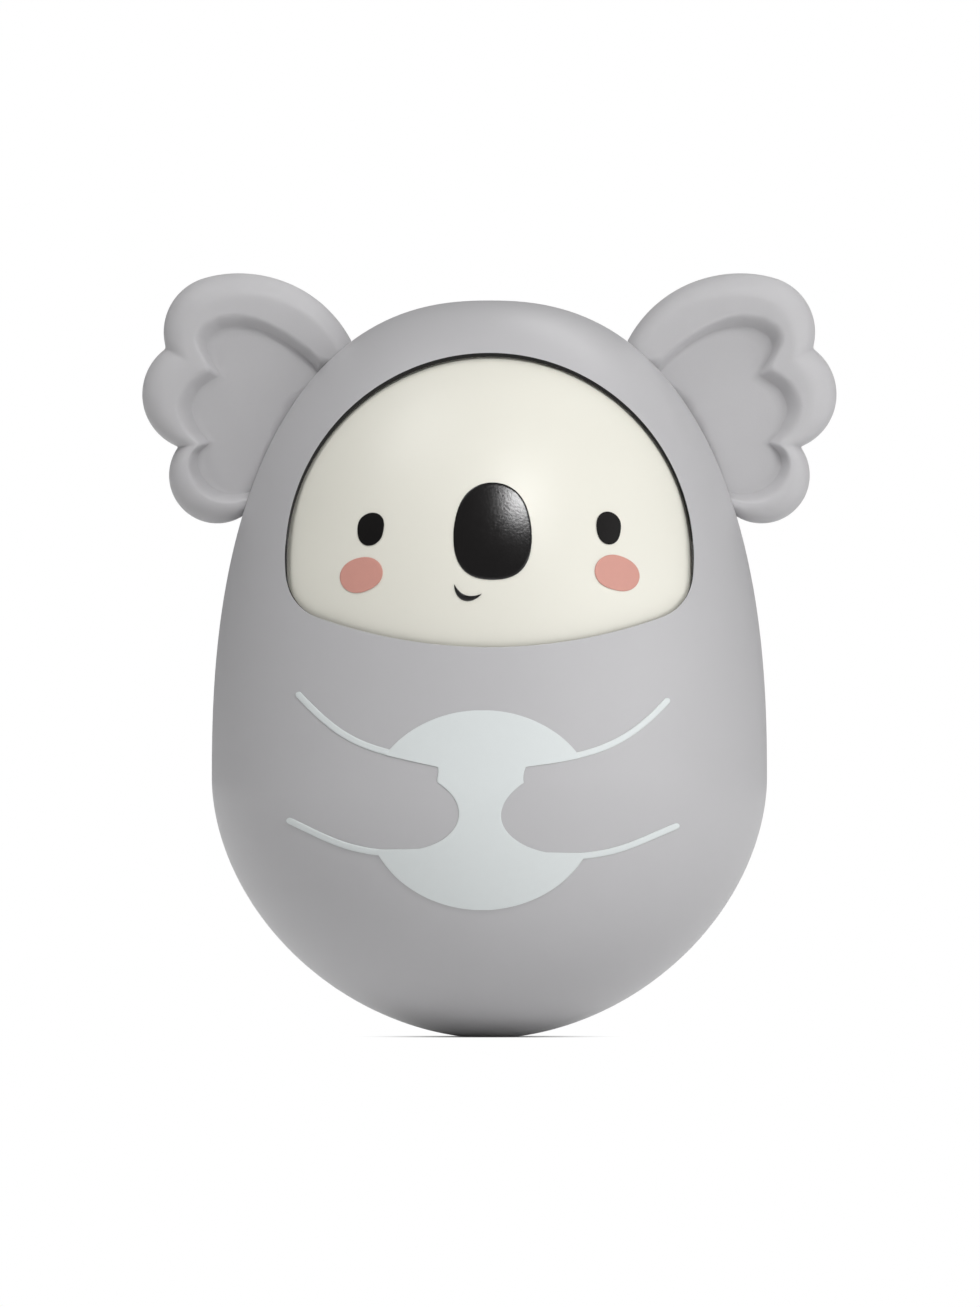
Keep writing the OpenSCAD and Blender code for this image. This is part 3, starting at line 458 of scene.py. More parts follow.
def front_shell_skin(egg, dome, size):
    """The front shell: a loop carried round the face opening. The loop runs over the outside from
    the rounded lip to the seam, back along the inside, round a ledge that reaches in over the face by
    the gap's width at each turn, and up the lip's wall. Ledge and wall carry painted shade: through
    the shade attribute they turn dark, standing in for the shadow in the gap. The wall leans back
    less where the face lies close behind the edge, and the inside stays clear of opening and face."""
    count, outer_rows, inner_rows, lip_rows = 336, 96, 40, 5
    shallow, deepening, least = 0.0006, 0.0008, 0.1
    x, z, out_x, out_z = rounded_lens(
        size.face_mid_h, size.face_r, size.chin_h + size.chin_r, size.chin_r, size.corner_r, count
    )
    edge = egg.seen(x, z)
    start = egg.seen(x + size.lip_r * out_x, z + size.lip_r * out_z)
    behind = edge + along_y(size.lip_r)
    recess = dome.seen(x, z, size.nod_gap, size.nod_rise)[:, 1] - edge[:, 1]
    under = size.lip_undercut * np.clip((recess - shallow) / deepening, least, 1.0)
    under_x, under_z = x + under * out_x, z + under * out_z
    lip_end = dome.seen(under_x, under_z, size.nod_gap, size.nod_rise)
    gap = np.interp(np.degrees(np.arctan2(z - size.face_mid_h, x)), GAP_TURNS, GAP_WIDTHS) * MM
    ledge = dome.seen(x - gap * out_x, z - gap * out_z, size.nod_gap, size.nod_rise)
    ledge_step = along_y(size.ledge_t)
    turn = np.pi / 2.0 + full_turn(count)
    seam_start, seam = seam_rows(egg, size, along(np.cos(turn), 0.0 * turn, np.sin(turn)), -1.0)
    lip_disc, seam_disc = to_disc(egg, start), to_disc(egg, seam_start)
    outer = egg.on_ray(from_disc(rows_between(lip_disc, seam_disc, ease(outer_rows))))
    near = ease(inner_rows)[1:-1]
    way = from_disc(rows_between(seam_disc, lip_disc, near))
    run = (1.0 - near)[:, None] * np.linalg.norm(seam_disc - lip_disc, axis=-1) * size.body_r
    inner = egg.on_ray(way, np.minimum(size.wall, 0.5 * run)[..., None])
    middle = np.array((0.0, size.face_mid_h))
    lip_off, off = along(x, z) - middle, inner[..., (0, 2)] - middle
    turns, lip_turns = np.arctan2(off[..., 1], off[..., 0]), np.arctan2(lip_off[:, 1], lip_off[:, 0])
    clear = np.interp(turns, lip_turns, np.hypot(*lip_off.T), period=2.0 * np.pi) + size.lip_undercut
    push = np.maximum(clear / np.hypot(off[..., 0], off[..., 1]), 1.0)
    inner[..., (0, 2)] = middle + off * push[..., None]
    front = egg.seen(inner[..., 0], inner[..., 2])[..., 1]
    inner[..., 1] = np.maximum(inner[..., 1], front + size.lip_undercut)
    room = dome.seen(inner[..., 0], inner[..., 2], size.nod_gap, size.nod_rise)[..., 1]
    inner[..., 1] = np.where(room < NOD_Y, np.minimum(inner[..., 1], room), inner[..., 1])
    lip = bend(behind, edge, start, lip_rows)
    wall = np.concatenate((
        lip_end[None], ledge[None], (ledge - ledge_step)[None],
        rows_between(lip_end - ledge_step, behind, (0.0, 0.75, 1.0)),
    ))
    bare = np.zeros(len(outer) + len(seam) + len(inner))
    # Painted shade: whole on the ledge and the wall's foot, fading out up the lip's wall
    shade = np.concatenate((bare, (1.0, 1.0, 1.0, 1.0, 0.6, 0.0), np.zeros(len(lip))))
    return Skin().grid(
        np.concatenate((outer, seam, inner, wall, lip)), round_rows=True, round_columns=True,
        shade=shade[:, None],
    )


def well_patch(skin, egg, ring, spots, centre, radius, edge_r, end_y, depth):
    """Fills a window of a shell's grid: rows shrink from the window's edge to a circle seen along
    Y, turn over a rounded edge, run straight to a depth behind the seam and close on a floor."""
    turn = np.arctan2(ring[:, 2] - centre[1], ring[:, 0] - centre[0])
    circle = along(np.cos(turn), np.sin(turn))
    hole = np.array(centre) + radius * circle
    brim = np.array(centre) + (radius + edge_r) * circle
    flat = rows_between(ring[:, (0, 2)], brim, np.linspace(0.0, 1.0, 9) ** 0.8)
    face = egg.seen(flat[..., 0], flat[..., 1], -depth, 1.0)
    face[0] = spots
    edge = egg.seen(hole[:, 0], hole[:, 1], -depth, 1.0)
    edge[:, (0, 2)] = hole
    step = along_y(edge_r)
    inward = edge - step
    floor = along(hole[:, 0], np.full(len(hole), end_y), hole[:, 1])
    middle = np.broadcast_to(np.array((centre[0], end_y, centre[1])), floor.shape)
    foot = rows_between(floor, middle, (edge_r / radius,))[0]
    skin.grid(
        np.concatenate((
            face,
            bend(face[-1], edge, inward, 4),
            rows_between(inward, floor + step, (0.0, 0.02, 0.5, 0.98, 1.0)),
            bend(floor + step, floor, foot, 3),
            rows_between(foot, middle, (0.0, 0.05, 0.5, 1.0)),
        )),
        round_columns=True,
    )


def window_ring(rows, columns, count):
    """Indices round the edge of a window in a grid whose columns close."""
    top, low = rows
    left, right = columns
    across = np.arange(left, right)
    down = np.arange(top, low)
    row = np.concatenate((np.full(len(across), top), down, np.full(len(across), low), down[::-1] + 1))
    column = np.concatenate((
        across, np.full(len(down), right), across[::-1] + 1, np.full(len(down), left)
    ))
    return row, column % count


def well_places(size):
    """Places of the screw wells, seen along Y."""
    low_x, low_h = size.low_well_x, size.low_well_h
    return (-low_x, low_h), (low_x, low_h), (0.0, size.top_well_h)


def rear_shell_skin(egg, size):
    """The rear shell: rings round the point straight behind, from there to the seam and back along
    the inside, with a window for each screw well outside and for its boss inside."""
    count, rings, crowding = 240, 84, 0.92
    seam_angles = np.array((0.004, 0.0015))
    well_edge, boss_edge, window_margin, seam_clear = 0.0004, 0.0002, 0.0022, 0.001
    off = np.pi / 2.0 * np.linspace(0.0, 1.0, rings) ** crowding
    turn = full_turn(count)
    seam_start, seam = seam_rows(egg, size, along(np.cos(turn), 0.0 * turn, np.sin(turn)), 1.0)
    last = np.arccos(seam_start[:, 1] / np.linalg.norm(seam_start - egg.middle, axis=-1))
    off = off[:, None] * last[None] / (np.pi / 2.0)
    near = last[None] - seam_angles[:, None]
    off = np.vstack((off[:-1], near, last[None]))
    way = along(np.sin(off) * np.cos(turn), np.cos(off), np.sin(off) * np.sin(turn))
    outer = egg.on_ray(way)
    inner = egg.on_ray(way, size.wall)
    skin = Skin()
    spots = np.concatenate((outer, seam, inner[::-1]))
    keep = np.ones((len(spots) - 1, count), bool)
    for x, z in well_places(size):
        for shell, radius, edge_r, end_y, depth in (
            (outer, size.well_r, well_edge, size.well_floor, 0.0),
            (inner, size.boss_r, boss_edge, size.seam_gap, size.wall),
        ):
            margin = radius + window_margin
            inside = (np.abs(outer[..., 0] - x) < margin) & (np.abs(outer[..., 2] - z) < margin)
            inside &= outer[..., 1] > seam_clear
            centre_turn = np.arctan2(z - size.waist_h, x)
            shift = count // 2 - int(round(centre_turn / (2.0 * np.pi) * count))
            rolled = np.roll(inside, shift, axis=1)
            at_row, at_column = np.nonzero(rolled)
            rows = (at_row.min(), at_row.max())
            columns = (at_column.min() - shift, at_column.max() - shift)
            ring_row, ring_column = window_ring(rows, columns, count)
            gone = np.arange(*columns) % count
            if shell is outer:
                keep[rows[0]:rows[1], gone] = False
            else:
                top = len(spots) - 1 - rows[1]
                keep[top:top + rows[1] - rows[0], gone] = False
            well_patch(
                skin, egg, outer[ring_row, ring_column], shell[ring_row, ring_column],
                (x, z), radius, edge_r, end_y, depth,
            )
    return skin.grid(spots, round_columns=True, keep=keep)


def face_skin(dome, size):
    """The face: rows grow from a point to the hidden trim outline, turn over its edge and return on
    the inside."""
    count, corner_r, edge_t = 384, 0.0012, 0.0004
    trim_x, trim_z, _, _ = rounded_lens(
        size.trim_h, size.trim_r, size.chin_h + size.chin_r, size.chin_r + size.chin_lap, corner_r, count
    )
    trim = along(trim_x, trim_z)
    centre = np.broadcast_to(np.array((0.0, size.face_mid_h)), trim.shape)
    grow = np.concatenate((np.linspace(0.0, 0.96, 62), (0.98, 0.99, 1.0)))
    face = rows_between(centre, trim, grow)
    back = rows_between(trim, centre, np.linspace(0.0, 1.0, 26))
    outer = dome.seen(face[..., 0], face[..., 1])
    edge = outer[-1:] + along_y(edge_t)
    inner = dome.seen(back[..., 0], back[..., 1], -size.dome_t)
    return Skin().grid(np.concatenate((outer, edge, inner)), round_columns=True)


def ear_reach(turn, circles):
    """How far rays from the ear's hub run before they leave the last of a set of circles."""
    way = along(np.cos(turn), np.sin(turn))
    off = circles[:, :2] - EAR_HUB
    ahead = way @ off.T
    square = circles[:, 2] ** 2 - (off * off).sum(1) + ahead * ahead
    return np.where(square > 0.0, ahead + np.sqrt(np.maximum(square, 0.0)), 0.0)


def ear_outline(turn):
    """Reach of the ear's outline: the longest of the long lobe and the circles, with the notches
    between them softened by a sum of powers of e."""
    rounds, sharp = 120, 5200.0
    lobe = np.hstack((curve(LONG_LOBE, rounds), np.full((rounds, 1), LONG_LOBE_R)))
    reach = np.hstack((ear_reach(turn, lobe).max(axis=1, keepdims=True), ear_reach(turn, EAR_CIRCLES)))
    top = reach.max(axis=1, keepdims=True)
    return (top + np.log(np.exp(sharp * (reach - top)).sum(axis=1, keepdims=True)) / sharp)[:, 0]


def egg_reach(egg, turn, y):
    """How far rays from the ear's hub, in the plane at y, run before they leave the body: halving."""
    furthest, halvings = 0.04, 34
    low, high = np.zeros_like(turn + y), np.full_like(turn + y, furthest)
    for _ in range(halvings):
        mid = (low + high) / 2.0
        x, z = EAR_HUB[0] + mid * np.cos(turn), EAR_HUB[1] + mid * np.sin(turn)
        inside = x * x + y * y < egg.radius(z) ** 2
        low, high = np.where(inside, mid, low), np.where(inside, high, mid)
    return low


def ear_skin(egg, size, side):
    """An ear: a loop carried round a hub inside the body. On each ray the loop runs from the body
    over the flat hollow, up the rim's inner side to its crest, round the outer edge and back."""
    first_turn, last_turn, rays = -2.4, 1.9, 420
    least_span, sink = 0.0002, 0.0004
    turn = np.linspace(first_turn, last_turn, 4000)
    open_ray = ear_outline(turn) - egg_reach(egg, turn, 0.0 * turn) > least_span
    turn = np.linspace(turn[open_ray].min(), turn[open_ray].max(), rays)
    outer = ear_outline(turn)
    edge = HOLLOW_EDGE - EAR_HUB
    edge_turn, edge_reach = np.arctan2(edge[:, 1], edge[:, 0]), np.hypot(edge[:, 0], edge[:, 1])
    order = np.argsort(edge_turn)
    hollow = np.interp(turn, edge_turn[order], edge_reach[order])
    blur_rays, blur = 12, 3.6
    spread = np.exp(-0.5 * (np.arange(-blur_rays, blur_rays + 1.0) / blur) ** 2)
    hollow = np.convolve(np.pad(hollow, blur_rays, "edge"), spread / spread.sum(), "valid")
    front, back = -size.ear_front, size.ear_t - size.ear_front
    middle = (front + back) / 2.0
    half_t = size.ear_t / 2.0
    root = egg_reach(egg, turn, np.full_like(turn, front + size.ear_hollow)) - sink
    span = outer - root
    roll_share, least_rim, wall_share, crest_share, back_share = 0.62, 0.0005, 0.06, 0.45, 0.4
    crest = outer - np.minimum(size.ear_roll, roll_share * np.maximum(outer - hollow, least_rim))
    wall_reach = np.maximum(hollow, root + wall_share * span)
    crest_reach = np.maximum(crest, root + crest_share * span)

    def front_y(reach):
        """Depth of the ear's front: a quarter ellipse outside the crest. Inside it the rim leans in
        by a square and then falls into the hollow by a square less part of a cube."""
        least_wall, lean, bulge = 0.25, 0.12, 0.9
        over = np.clip((reach - crest) / np.maximum(outer - crest, WELD), 0.0, 1.0)
        inside = np.maximum(crest - hollow, WELD)
        under = np.clip((crest - reach) / inside, 0.0, 1.0)
        wall = np.clip(size.ear_wall / inside, least_wall, 1.0)
        slope = np.clip((under - 1.0 + wall) / wall, 0.0, 1.0)
        fall = lean * under**2 + (1.0 - lean) * slope**2 * (1.0 + bulge - bulge * slope)
        return front + half_t * (1.0 - np.sqrt(1.0 - over**2)) + size.ear_hollow * fall

    quarter = np.sin(np.linspace(0.0, np.pi / 2.0, 18))[1:]
    reach = np.concatenate((
        rows_between(root[:, None], wall_reach[:, None], np.linspace(0.0, 1.0, 9))[..., 0],
        rows_between(wall_reach[:, None], crest_reach[:, None], np.linspace(0.0, 1.0, 23)[1:])[..., 0],
        rows_between(crest_reach[:, None], outer[:, None], quarter)[..., 0],
    ))
    depth = front_y(reach)
    back_root = egg_reach(egg, turn, np.full_like(turn, back)) - sink
    back_crest = np.maximum(outer - half_t, back_root + back_share * (outer - back_root))
    angle = np.linspace(0.0, np.pi / 2.0, 14)[1:, None]
    round_reach = back_crest + (outer - back_crest) * np.cos(angle)
    round_depth = middle + half_t * np.sin(angle) + 0.0 * turn
    flat = np.linspace(0.0, 1.0, 8)[1:]
    flat_reach = rows_between(back_crest[:, None], back_root[:, None], flat)[..., 0]
    side_depth = np.linspace(back, front + size.ear_hollow, 5)[1:-1, None] + 0.0 * turn
    side_reach = egg_reach(egg, np.broadcast_to(turn, side_depth.shape), side_depth) - sink
    reach = np.concatenate((reach, round_reach, flat_reach, side_reach))
    depth = np.concatenate((depth, round_depth, np.full_like(flat_reach, back), side_depth))
    x, z = EAR_HUB[0] + reach * np.cos(turn), EAR_HUB[1] + reach * np.sin(turn)
    loop = along(side * x, depth, z).swapaxes(0, 1)
    return Skin().grid(capped(loop), round_columns=True)


def ink_patch(skin, size, seen, rim, centre):
    """A thin print: rows grow from a point to its outline on the raised face, turn over the edge and
    return on the underside."""
    middle = np.broadcast_to(np.array(centre), rim.shape)
    grow = np.concatenate((np.linspace(0.0, 0.94, 16), (0.975, 1.0, 1.0), np.linspace(0.94, 0.0, 6)))
    high = np.concatenate((np.full(17, size.ink_top), (0.7 * size.ink_top,), np.full(7, size.ink_low)))
    flat = rows_between(middle, rim, grow)
    skin.grid(seen(flat[..., 0], flat[..., 1], high[:, None]), round_columns=True)


def ink_stroke(skin, size, seen, path, half_w, top):
    """A thin printed line: across the path the face is flat with its edges turned down, and the line
    ends where its half width falls to nothing."""
    step = unit_steps(path)
    across = along(-step[:, 1], step[:, 0])
    place = np.array((-1.0, -1.0, -0.86, -0.4, 0.0, 0.4, 0.86, 1.0, 1.0, 0.4, -0.4))
    high = np.array((size.ink_low, 0.6 * top, top, top, top, top, top, 0.6 * top) + (size.ink_low,) * 3)
    flat = path[:, None] + across[:, None] * half_w[:, None, None] * place[None, :, None]
    spots = seen(flat[..., 0], flat[..., 1], np.broadcast_to(high, flat.shape[:2]))
    skin.grid(capped(spots), round_columns=True)


def wave_outline(shape):
    """A closed outline whose radius is a mean plus a few waves round its middle."""
    middle, mean, waves = shape
    turn = full_turn(120)
    order = np.arange(1, len(waves) + 1)[:, None] * turn
    pair = np.array(waves)
    radius = mean + pair[:, 0] @ np.cos(order) + pair[:, 1] @ np.sin(order)
    return MM * along(middle[0] + radius * np.cos(turn), middle[1] + radius * np.sin(turn))


def belly_side(size, arm):
    """One edge of the belly's pale middle, upwards: the disc, the arm's lower line up to the hand,
    the palm, and the arm's upper line back out to the disc. Heights never fall on the way."""
    middle = np.array((size.belly_x, size.belly_h))
    half = np.array((size.belly_half_w, size.belly_half_h))
    inner = np.concatenate([arm[name][::-1] for name in ("low", "palm", "hand", "top")])
    inner = inner[np.hypot(*((inner - middle) / half).T) < 1.0]
    side = np.sign(inner[0, 0] - middle[0])
    ends = [(inner[i] - middle) / half for i in (0, -1)]
    low, high = (np.arctan2(end[1], side * end[0]) for end in ends)
    below, above = np.linspace(-np.pi / 2.0, low, 90)[:-1], np.linspace(high, np.pi / 2.0, 90)[1:]
    rim = [middle + half * along(side * np.cos(t), np.sin(t)) for t in (below, above)]
    edge = np.concatenate((rim[0], inner, rim[1]))
    edge[:, 1] = np.maximum.accumulate(edge[:, 1])
    return edge


def belly_skin(egg, size):
    """The belly's print: level rows from the left edge to the right one, and four arm lines."""
    points, rows, columns = 90, 400, 56
    inset, line_start, line_drop = 0.00003, 0.86, 0.00001
    left_arm, right_arm = (
        {name: curve(leads, points) for name, leads in arm.items()} for arm in (LEFT_ARM, RIGHT_ARM)
    )
    left, right = belly_side(size, left_arm), belly_side(size, right_arm)
    rise = np.sin(np.linspace(-np.pi / 2.0, np.pi / 2.0, rows))
    z = size.belly_h + (size.belly_half_h - inset) * rise
    sides = [np.interp(z, edge[:, 1], edge[:, 0])[:, None] for edge in (left, right)]
    step = np.array((0.0, 0.0, 0.0001, 0.0003))
    lines = size.belly_x + size.belly_half_w * np.linspace(-1.0, 1.0, columns)
    face = np.clip(lines, sides[0] + step[-1], sides[1] - step[-1])
    x = np.hstack((sides[0] + step, face, sides[1] - step[::-1], face[:, ::-4]))
    edge_high = np.array((size.ink_low, 0.7 * size.ink_top, size.ink_top, size.ink_top))
    under = np.full(len(lines[::-4]), size.ink_low)
    high = np.concatenate((edge_high, np.full(len(lines), size.ink_top), edge_high[::-1], under))
    spots = egg.seen(x, np.broadcast_to(z[:, None], x.shape), np.broadcast_to(high, x.shape))
    skin = Skin().grid(capped(spots), round_columns=True)
    middle = np.array((size.belly_x, size.belly_h))
    disc = np.array((size.belly_half_w, size.belly_half_h))
    half = size.arm_line / 2.0
    for arm, side in ((left_arm, -1.0), (right_arm, 1.0)):
        for name, up in (("top", 1.0), ("low", -1.0)):
            path = arm[name] if name == "low" else arm[name][::-1]
            path = path[np.hypot(*((path - middle) / disc).T) > line_start]
            step = unit_steps(path)
            path = path + half * up * along(-side * step[:, 1], side * step[:, 0])
            run = np.concatenate(((0.0,), np.cumsum(np.linalg.norm(np.diff(path, axis=0), axis=1))))
            even = run[-1] * np.sin(np.linspace(0.0, np.pi / 2.0, points))
            path = along(np.interp(even, run, path[:, 0]), np.interp(even, run, path[:, 1]))
            left_over = np.clip((run[-1] - even) / half, 0.0, 1.0)
            width = half * np.sqrt(np.maximum(1.0 - (1.0 - left_over) ** 2, 0.0))
            ink_stroke(skin, size, egg.seen, path, width, size.ink_top - line_drop)
    return skin


def screw_skin(places, head_y, head_r, head_t, shank_r, shank_l):
    """Screws along Y: a domed head with a cross-shaped recess, sunk where the point lies within an
    arm of the cross, and a plain shank with a pointed end."""
    skin = Skin()
    turn = full_turn(96)
    radius = np.concatenate((np.linspace(0.0, 0.9, 26), (0.96, 1.0))) * head_r
    across, up = radius[:, None] * np.cos(turn), radius[:, None] * np.sin(turn)
    arm_share, tip_share, rim_share, recess_share = 0.17, 0.62, 0.62, 0.5
    bulge = np.sqrt(np.maximum(1.0 - (radius / head_r) ** 2, 0.0))
    crown = head_t * (rim_share + (1.0 - rim_share) * bulge)[:, None]
    arm, tip = arm_share * head_r, tip_share * head_r
    slot = np.minimum(np.abs(across), np.abs(up)) / arm
    far = np.maximum(np.abs(across), np.abs(up)) / tip
    sunk = np.clip(2.5 * (1.0 - slot), 0.0, 1.0) * np.clip(6.0 * (1.0 - far), 0.0, 1.0)
    top = along(across, crown - recess_share * head_t * sunk, up)
    under = np.array(((head_r, 0.0), (shank_r, 0.0), (shank_r, -0.9 * shank_l), (0.0, -shank_l)))
    stem = along(under[:, :1] * np.cos(turn), under[:, 1:] + 0.0 * turn, under[:, :1] * np.sin(turn))
    for x, z in places:
        skin.grid(np.concatenate((top, stem)) + np.array((x, head_y, z)), round_columns=True)
    return skin


class Wire:
    """A value in a finish: arithmetic on it adds Math nodes."""

    def __init__(self, finish, socket):
        self.finish, self.socket = finish, socket

    def math(self, operation, other):
        return self.finish.node("ShaderNodeMath", {"operation": operation}, {0: self, 1: other})

    def __add__(self, other):
        return self.math("ADD", other)

    def __mul__(self, other):
        return self.math("MULTIPLY", other)

    __radd__, __rmul__ = __add__, __mul__


class Finish:
    """The nodes of a material, or of a world, under construction."""

    def __init__(self, name, kind=None):
        self.owner = (bpy.data.materials if kind is None else kind).new(name)
        self.owner.use_nodes = True
        self.tree = self.owner.node_tree
        self.tree.nodes.clear()

    def node(self, kind, settings=None, values=None, output=0):
        """Adds a node, sets its settings and then its sockets, and gives one output as a Wire."""
        made = self.tree.nodes.new(kind)
        for name, value in (settings or {}).items():
            setattr(made, name, value)
        for key, value in (values or {}).items():
            socket = made.inputs[key] if isinstance(key, int) else next(
                s for s in made.inputs if key in (s.identifier, s.name)
            )
            if isinstance(value, Wire):
                self.tree.links.new(value.socket, socket)
            else:
                socket.default_value = value
        out = made.outputs[output] if isinstance(output, int) else next(
            s for s in made.outputs if output in (s.identifier, s.name)
        )
        return Wire(self, out)

    def noise(self, scale, detail=2.0, roughness=0.5, stretch=(1.0, 1.0, 1.0)):
        """Even noise from 0 to 1 over the piece, with a scale in features per metre."""
        place = self.node("ShaderNodeTexCoord", output="Object")
        place = self.node("ShaderNodeMapping", values={"Vector": place, "Scale": stretch})
        return self.node(
            "ShaderNodeTexNoise",
            values={"Vector": place, "Scale": scale, "Detail": detail, "Roughness": roughness},
            output="Fac",
        )

    def rgba(self, tint):
        """A colour with its alpha, or a Wire as it is."""
        return tint if isinstance(tint, Wire) else (*tint, 1.0)

    def tint(self, factor, dark, light):
        """Mixes two colours by a factor."""
        return self.node(
            "ShaderNodeMix", {"data_type": "RGBA"},
            {"Factor_Float": factor, "A_Color": self.rgba(dark), "B_Color": self.rgba(light)},
            "Result_Color",
        )

    def bump(self, height, distance):
        """A bump whose height is in units of the distance."""
        return self.node(
            "ShaderNodeBump", values={"Height": height, "Distance": distance, "Strength": 1.0},
            output="Normal",
        )

    def surface(self, **values):
        """Ends the finish in a Principled surface and gives the material."""
        words = {
            key.replace("_", " ").title().replace("Ior", "IOR"): value for key, value in values.items()
        }
        return self.end(self.node("ShaderNodeBsdfPrincipled", values=words))

    def end(self, shader, kind="ShaderNodeOutputMaterial"):
        """Links a shader to the surface and gives the material or the world."""
        self.tree.links.new(shader.socket, self.tree.nodes.new(kind).inputs["Surface"])
        return self.owner


def shades(tint, spread):
    """A darker and a lighter shade of a colour."""
    return tuple(c * (1.0 - spread) for c in tint), tuple(min(c * (1.0 + spread), 1.0) for c in tint)


def moulded_plastic(name, tint, rough, grain, spread=0.02, dark=None):
    """Satin moulded plastic: a fine eroded grain, slight waves of the mould and uneven sheen. Where
    the piece's shade attribute rises, the colour turns to the dark one, which is painted shade."""
    finish = Finish(name)
    cloud = finish.noise(scale=42.0, detail=3.0)
    fine = finish.noise(scale=2600.0, roughness=0.6)
    broad = finish.noise(scale=420.0)
    height = fine * 0.8 + broad * 0.35
    base = finish.tint(cloud * 0.8 + fine * 0.2, *shades(tint, spread))
    # Painted shade: the dark colour takes over where the shade attribute rises
    if dark is not None:
        shade = finish.node("ShaderNodeAttribute", {"attribute_name": "shade"}, output="Fac")
        base = finish.tint(shade, base, dark)
    return finish.surface(
        base_color=base,
        roughness=cloud * 0.05 + fine * 0.05 + (rough - 0.05),
        normal=finish.bump(height, grain),
        specular_ior_level=0.5,
    )


def soft_rubber(name, tint, glow=0.0):
    """Soft rubber: duller than the shell, with a faint bloom, a fine matt skin and, for the ears, some
    light that passes through the skin."""
    finish = Finish(name)
    cloud = finish.noise(scale=55.0, detail=4.0, roughness=0.55)
    fine = finish.noise(scale=3000.0, roughness=0.6)
    return finish.surface(
        base_color=finish.tint(cloud, *shades(tint, 0.025)),
        roughness=cloud * 0.06 + fine * 0.06 + 0.5,
        normal=finish.bump(fine + cloud * 0.4, 0.000012),
        specular_ior_level=0.4,
        subsurface_weight=glow,
        subsurface_scale=0.003,
        subsurface_radius=(1.0, 1.0, 1.0),
    )


def printed_ink(name, tint, rough, grain, spread, sheen=0.5, pitch=4200.0):
    """Pad-printed ink: tiny pits, as many to the metre as the pitch, and slightly uneven cover."""
    finish = Finish(name)
    fine = finish.noise(scale=pitch, detail=3.0, roughness=0.65)
    cover = finish.noise(scale=700.0)
    return finish.surface(
        base_color=finish.tint(fine * 0.5 + cover * 0.5, *shades(tint, spread)),
        roughness=fine * 0.12 + (rough - 0.06),
        normal=finish.bump(fine, grain),
        specular_ior_level=sheen,
    )


def drawn_metal(name, tint, rough, stretch):
    """Turned or drawn metal: long fine scratches along one axis."""
    finish = Finish(name)
    lines = finish.noise(scale=1800.0, detail=3.0, roughness=0.6, stretch=stretch)
    cloud = finish.noise(scale=150.0)
    return finish.surface(
        base_color=finish.tint(lines * 0.6 + cloud * 0.4, *shades(tint, 0.08)),
        roughness=lines * 0.16 + (rough - 0.08),
        normal=finish.bump(lines, 0.000006),
        metallic=1.0,
    )


def cast_metal(name, tint):
    """Sand-cast iron: coarse pits with a dull, slightly stained skin."""
    finish = Finish(name)
    pits = finish.noise(scale=900.0, detail=4.0, roughness=0.7)
    stain = finish.noise(scale=110.0, detail=3.0)
    return finish.surface(
        base_color=finish.tint(stain * 0.7 + pits * 0.3, *shades(tint, 0.25)),
        roughness=pits * 0.25 + 0.5,
        normal=finish.bump(pits, 0.00008),
        metallic=0.7,
    )


INNER_FINISHES = {
    "white_plastic": lambda c: moulded_plastic("inner_white_plastic", c.white, rough=0.45, grain=0.00001),
    "iron": lambda c: cast_metal("cast_iron", c.iron),
    "black_rubber": lambda c: soft_rubber("pad_rubber", c.pad),
    "steel": lambda c: drawn_metal("drawn_steel", c.steel, 0.32, (0.05, 1.0, 1.0)),
    "block_metal": lambda c: drawn_metal("milled_aluminium", c.aluminium, 0.38, (0.08, 1.0, 1.0)),
    "bronze": lambda c: drawn_metal("sintered_bronze", c.bronze, 0.4, (1.0, 0.4, 0.4)),
}


class ToyOperator:
    """What the operators share: sizes, colours, the surfaces that pieces lie on, and their place in
    the frame."""

    bl_options = {"REGISTER"}

    def start(self, context):
        self.size = context.scene.toy_sizes
        self.colours = context.scene.toy_colours
        self.egg, self.dome = Egg(self.size), Dome(self.size)

    def place(self, skin, name, finish, node, body, slot):
        """Makes the piece, lets it ride on its body and stand for its node."""
        piece = skin.piece(name, finish)
        if not len(piece.data.polygons):
            raise RuntimeError(f"{name} came out empty")
        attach(piece, body)
        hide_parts(node)


class TOY_OT_shells(ToyOperator, Operator):
    """Makes the front shell with its face opening and the rear shell with its screw wells"""

    bl_idname = "toy.shells"
    bl_label = "Shells"

    def execute(self, context):
        self.start(context)
        # The dark colour is painted shade on the ledge and wall inside the face opening
        finish = moulded_plastic(
            "grey_shell_plastic", self.colours.grey, rough=0.4, grain=0.000009, spread=0.014,
            dark=self.colours.gap_painted_shade,
        )
        front = front_shell_skin(self.egg, self.dome, self.size)
        self.place(front, "front_shell_surface", finish, "front_shell", "body", "grey_plastic")
        rear = rear_shell_skin(self.egg, self.size)
        self.place(rear, "rear_shell_surface", finish, "rear_shell", "body", "grey_plastic")
        return {"FINISHED"}


class TOY_OT_face(ToyOperator, Operator):
    """Makes the nodding face behind the opening"""

    bl_idname = "toy.face"
    bl_label = "Face"

    def execute(self, context):
        self.start(context)
        finish = moulded_plastic(
            "cream_face_plastic", self.colours.cream, rough=0.42, grain=0.000009, spread=0.012
        )
        skin = face_skin(self.dome, self.size)
        self.place(skin, "face_surface", finish, "face_dome", "head", "cream_plastic")
        return {"FINISHED"}


class TOY_OT_ears(ToyOperator, Operator):
    """Makes the two scalloped ears"""

    bl_idname = "toy.ears"
    bl_label = "Ears"

    def execute(self, context):
        self.start(context)
        finish = soft_rubber("ear_rubber", self.colours.ear_grey, glow=0.45)
        for name, side in (("ear_left", -1.0), ("ear_right", 1.0)):
            skin = ear_skin(self.egg, self.size, side)
            self.place(skin, name + "_surface", finish, name, "body", "grey_rubber")
        return {"FINISHED"}


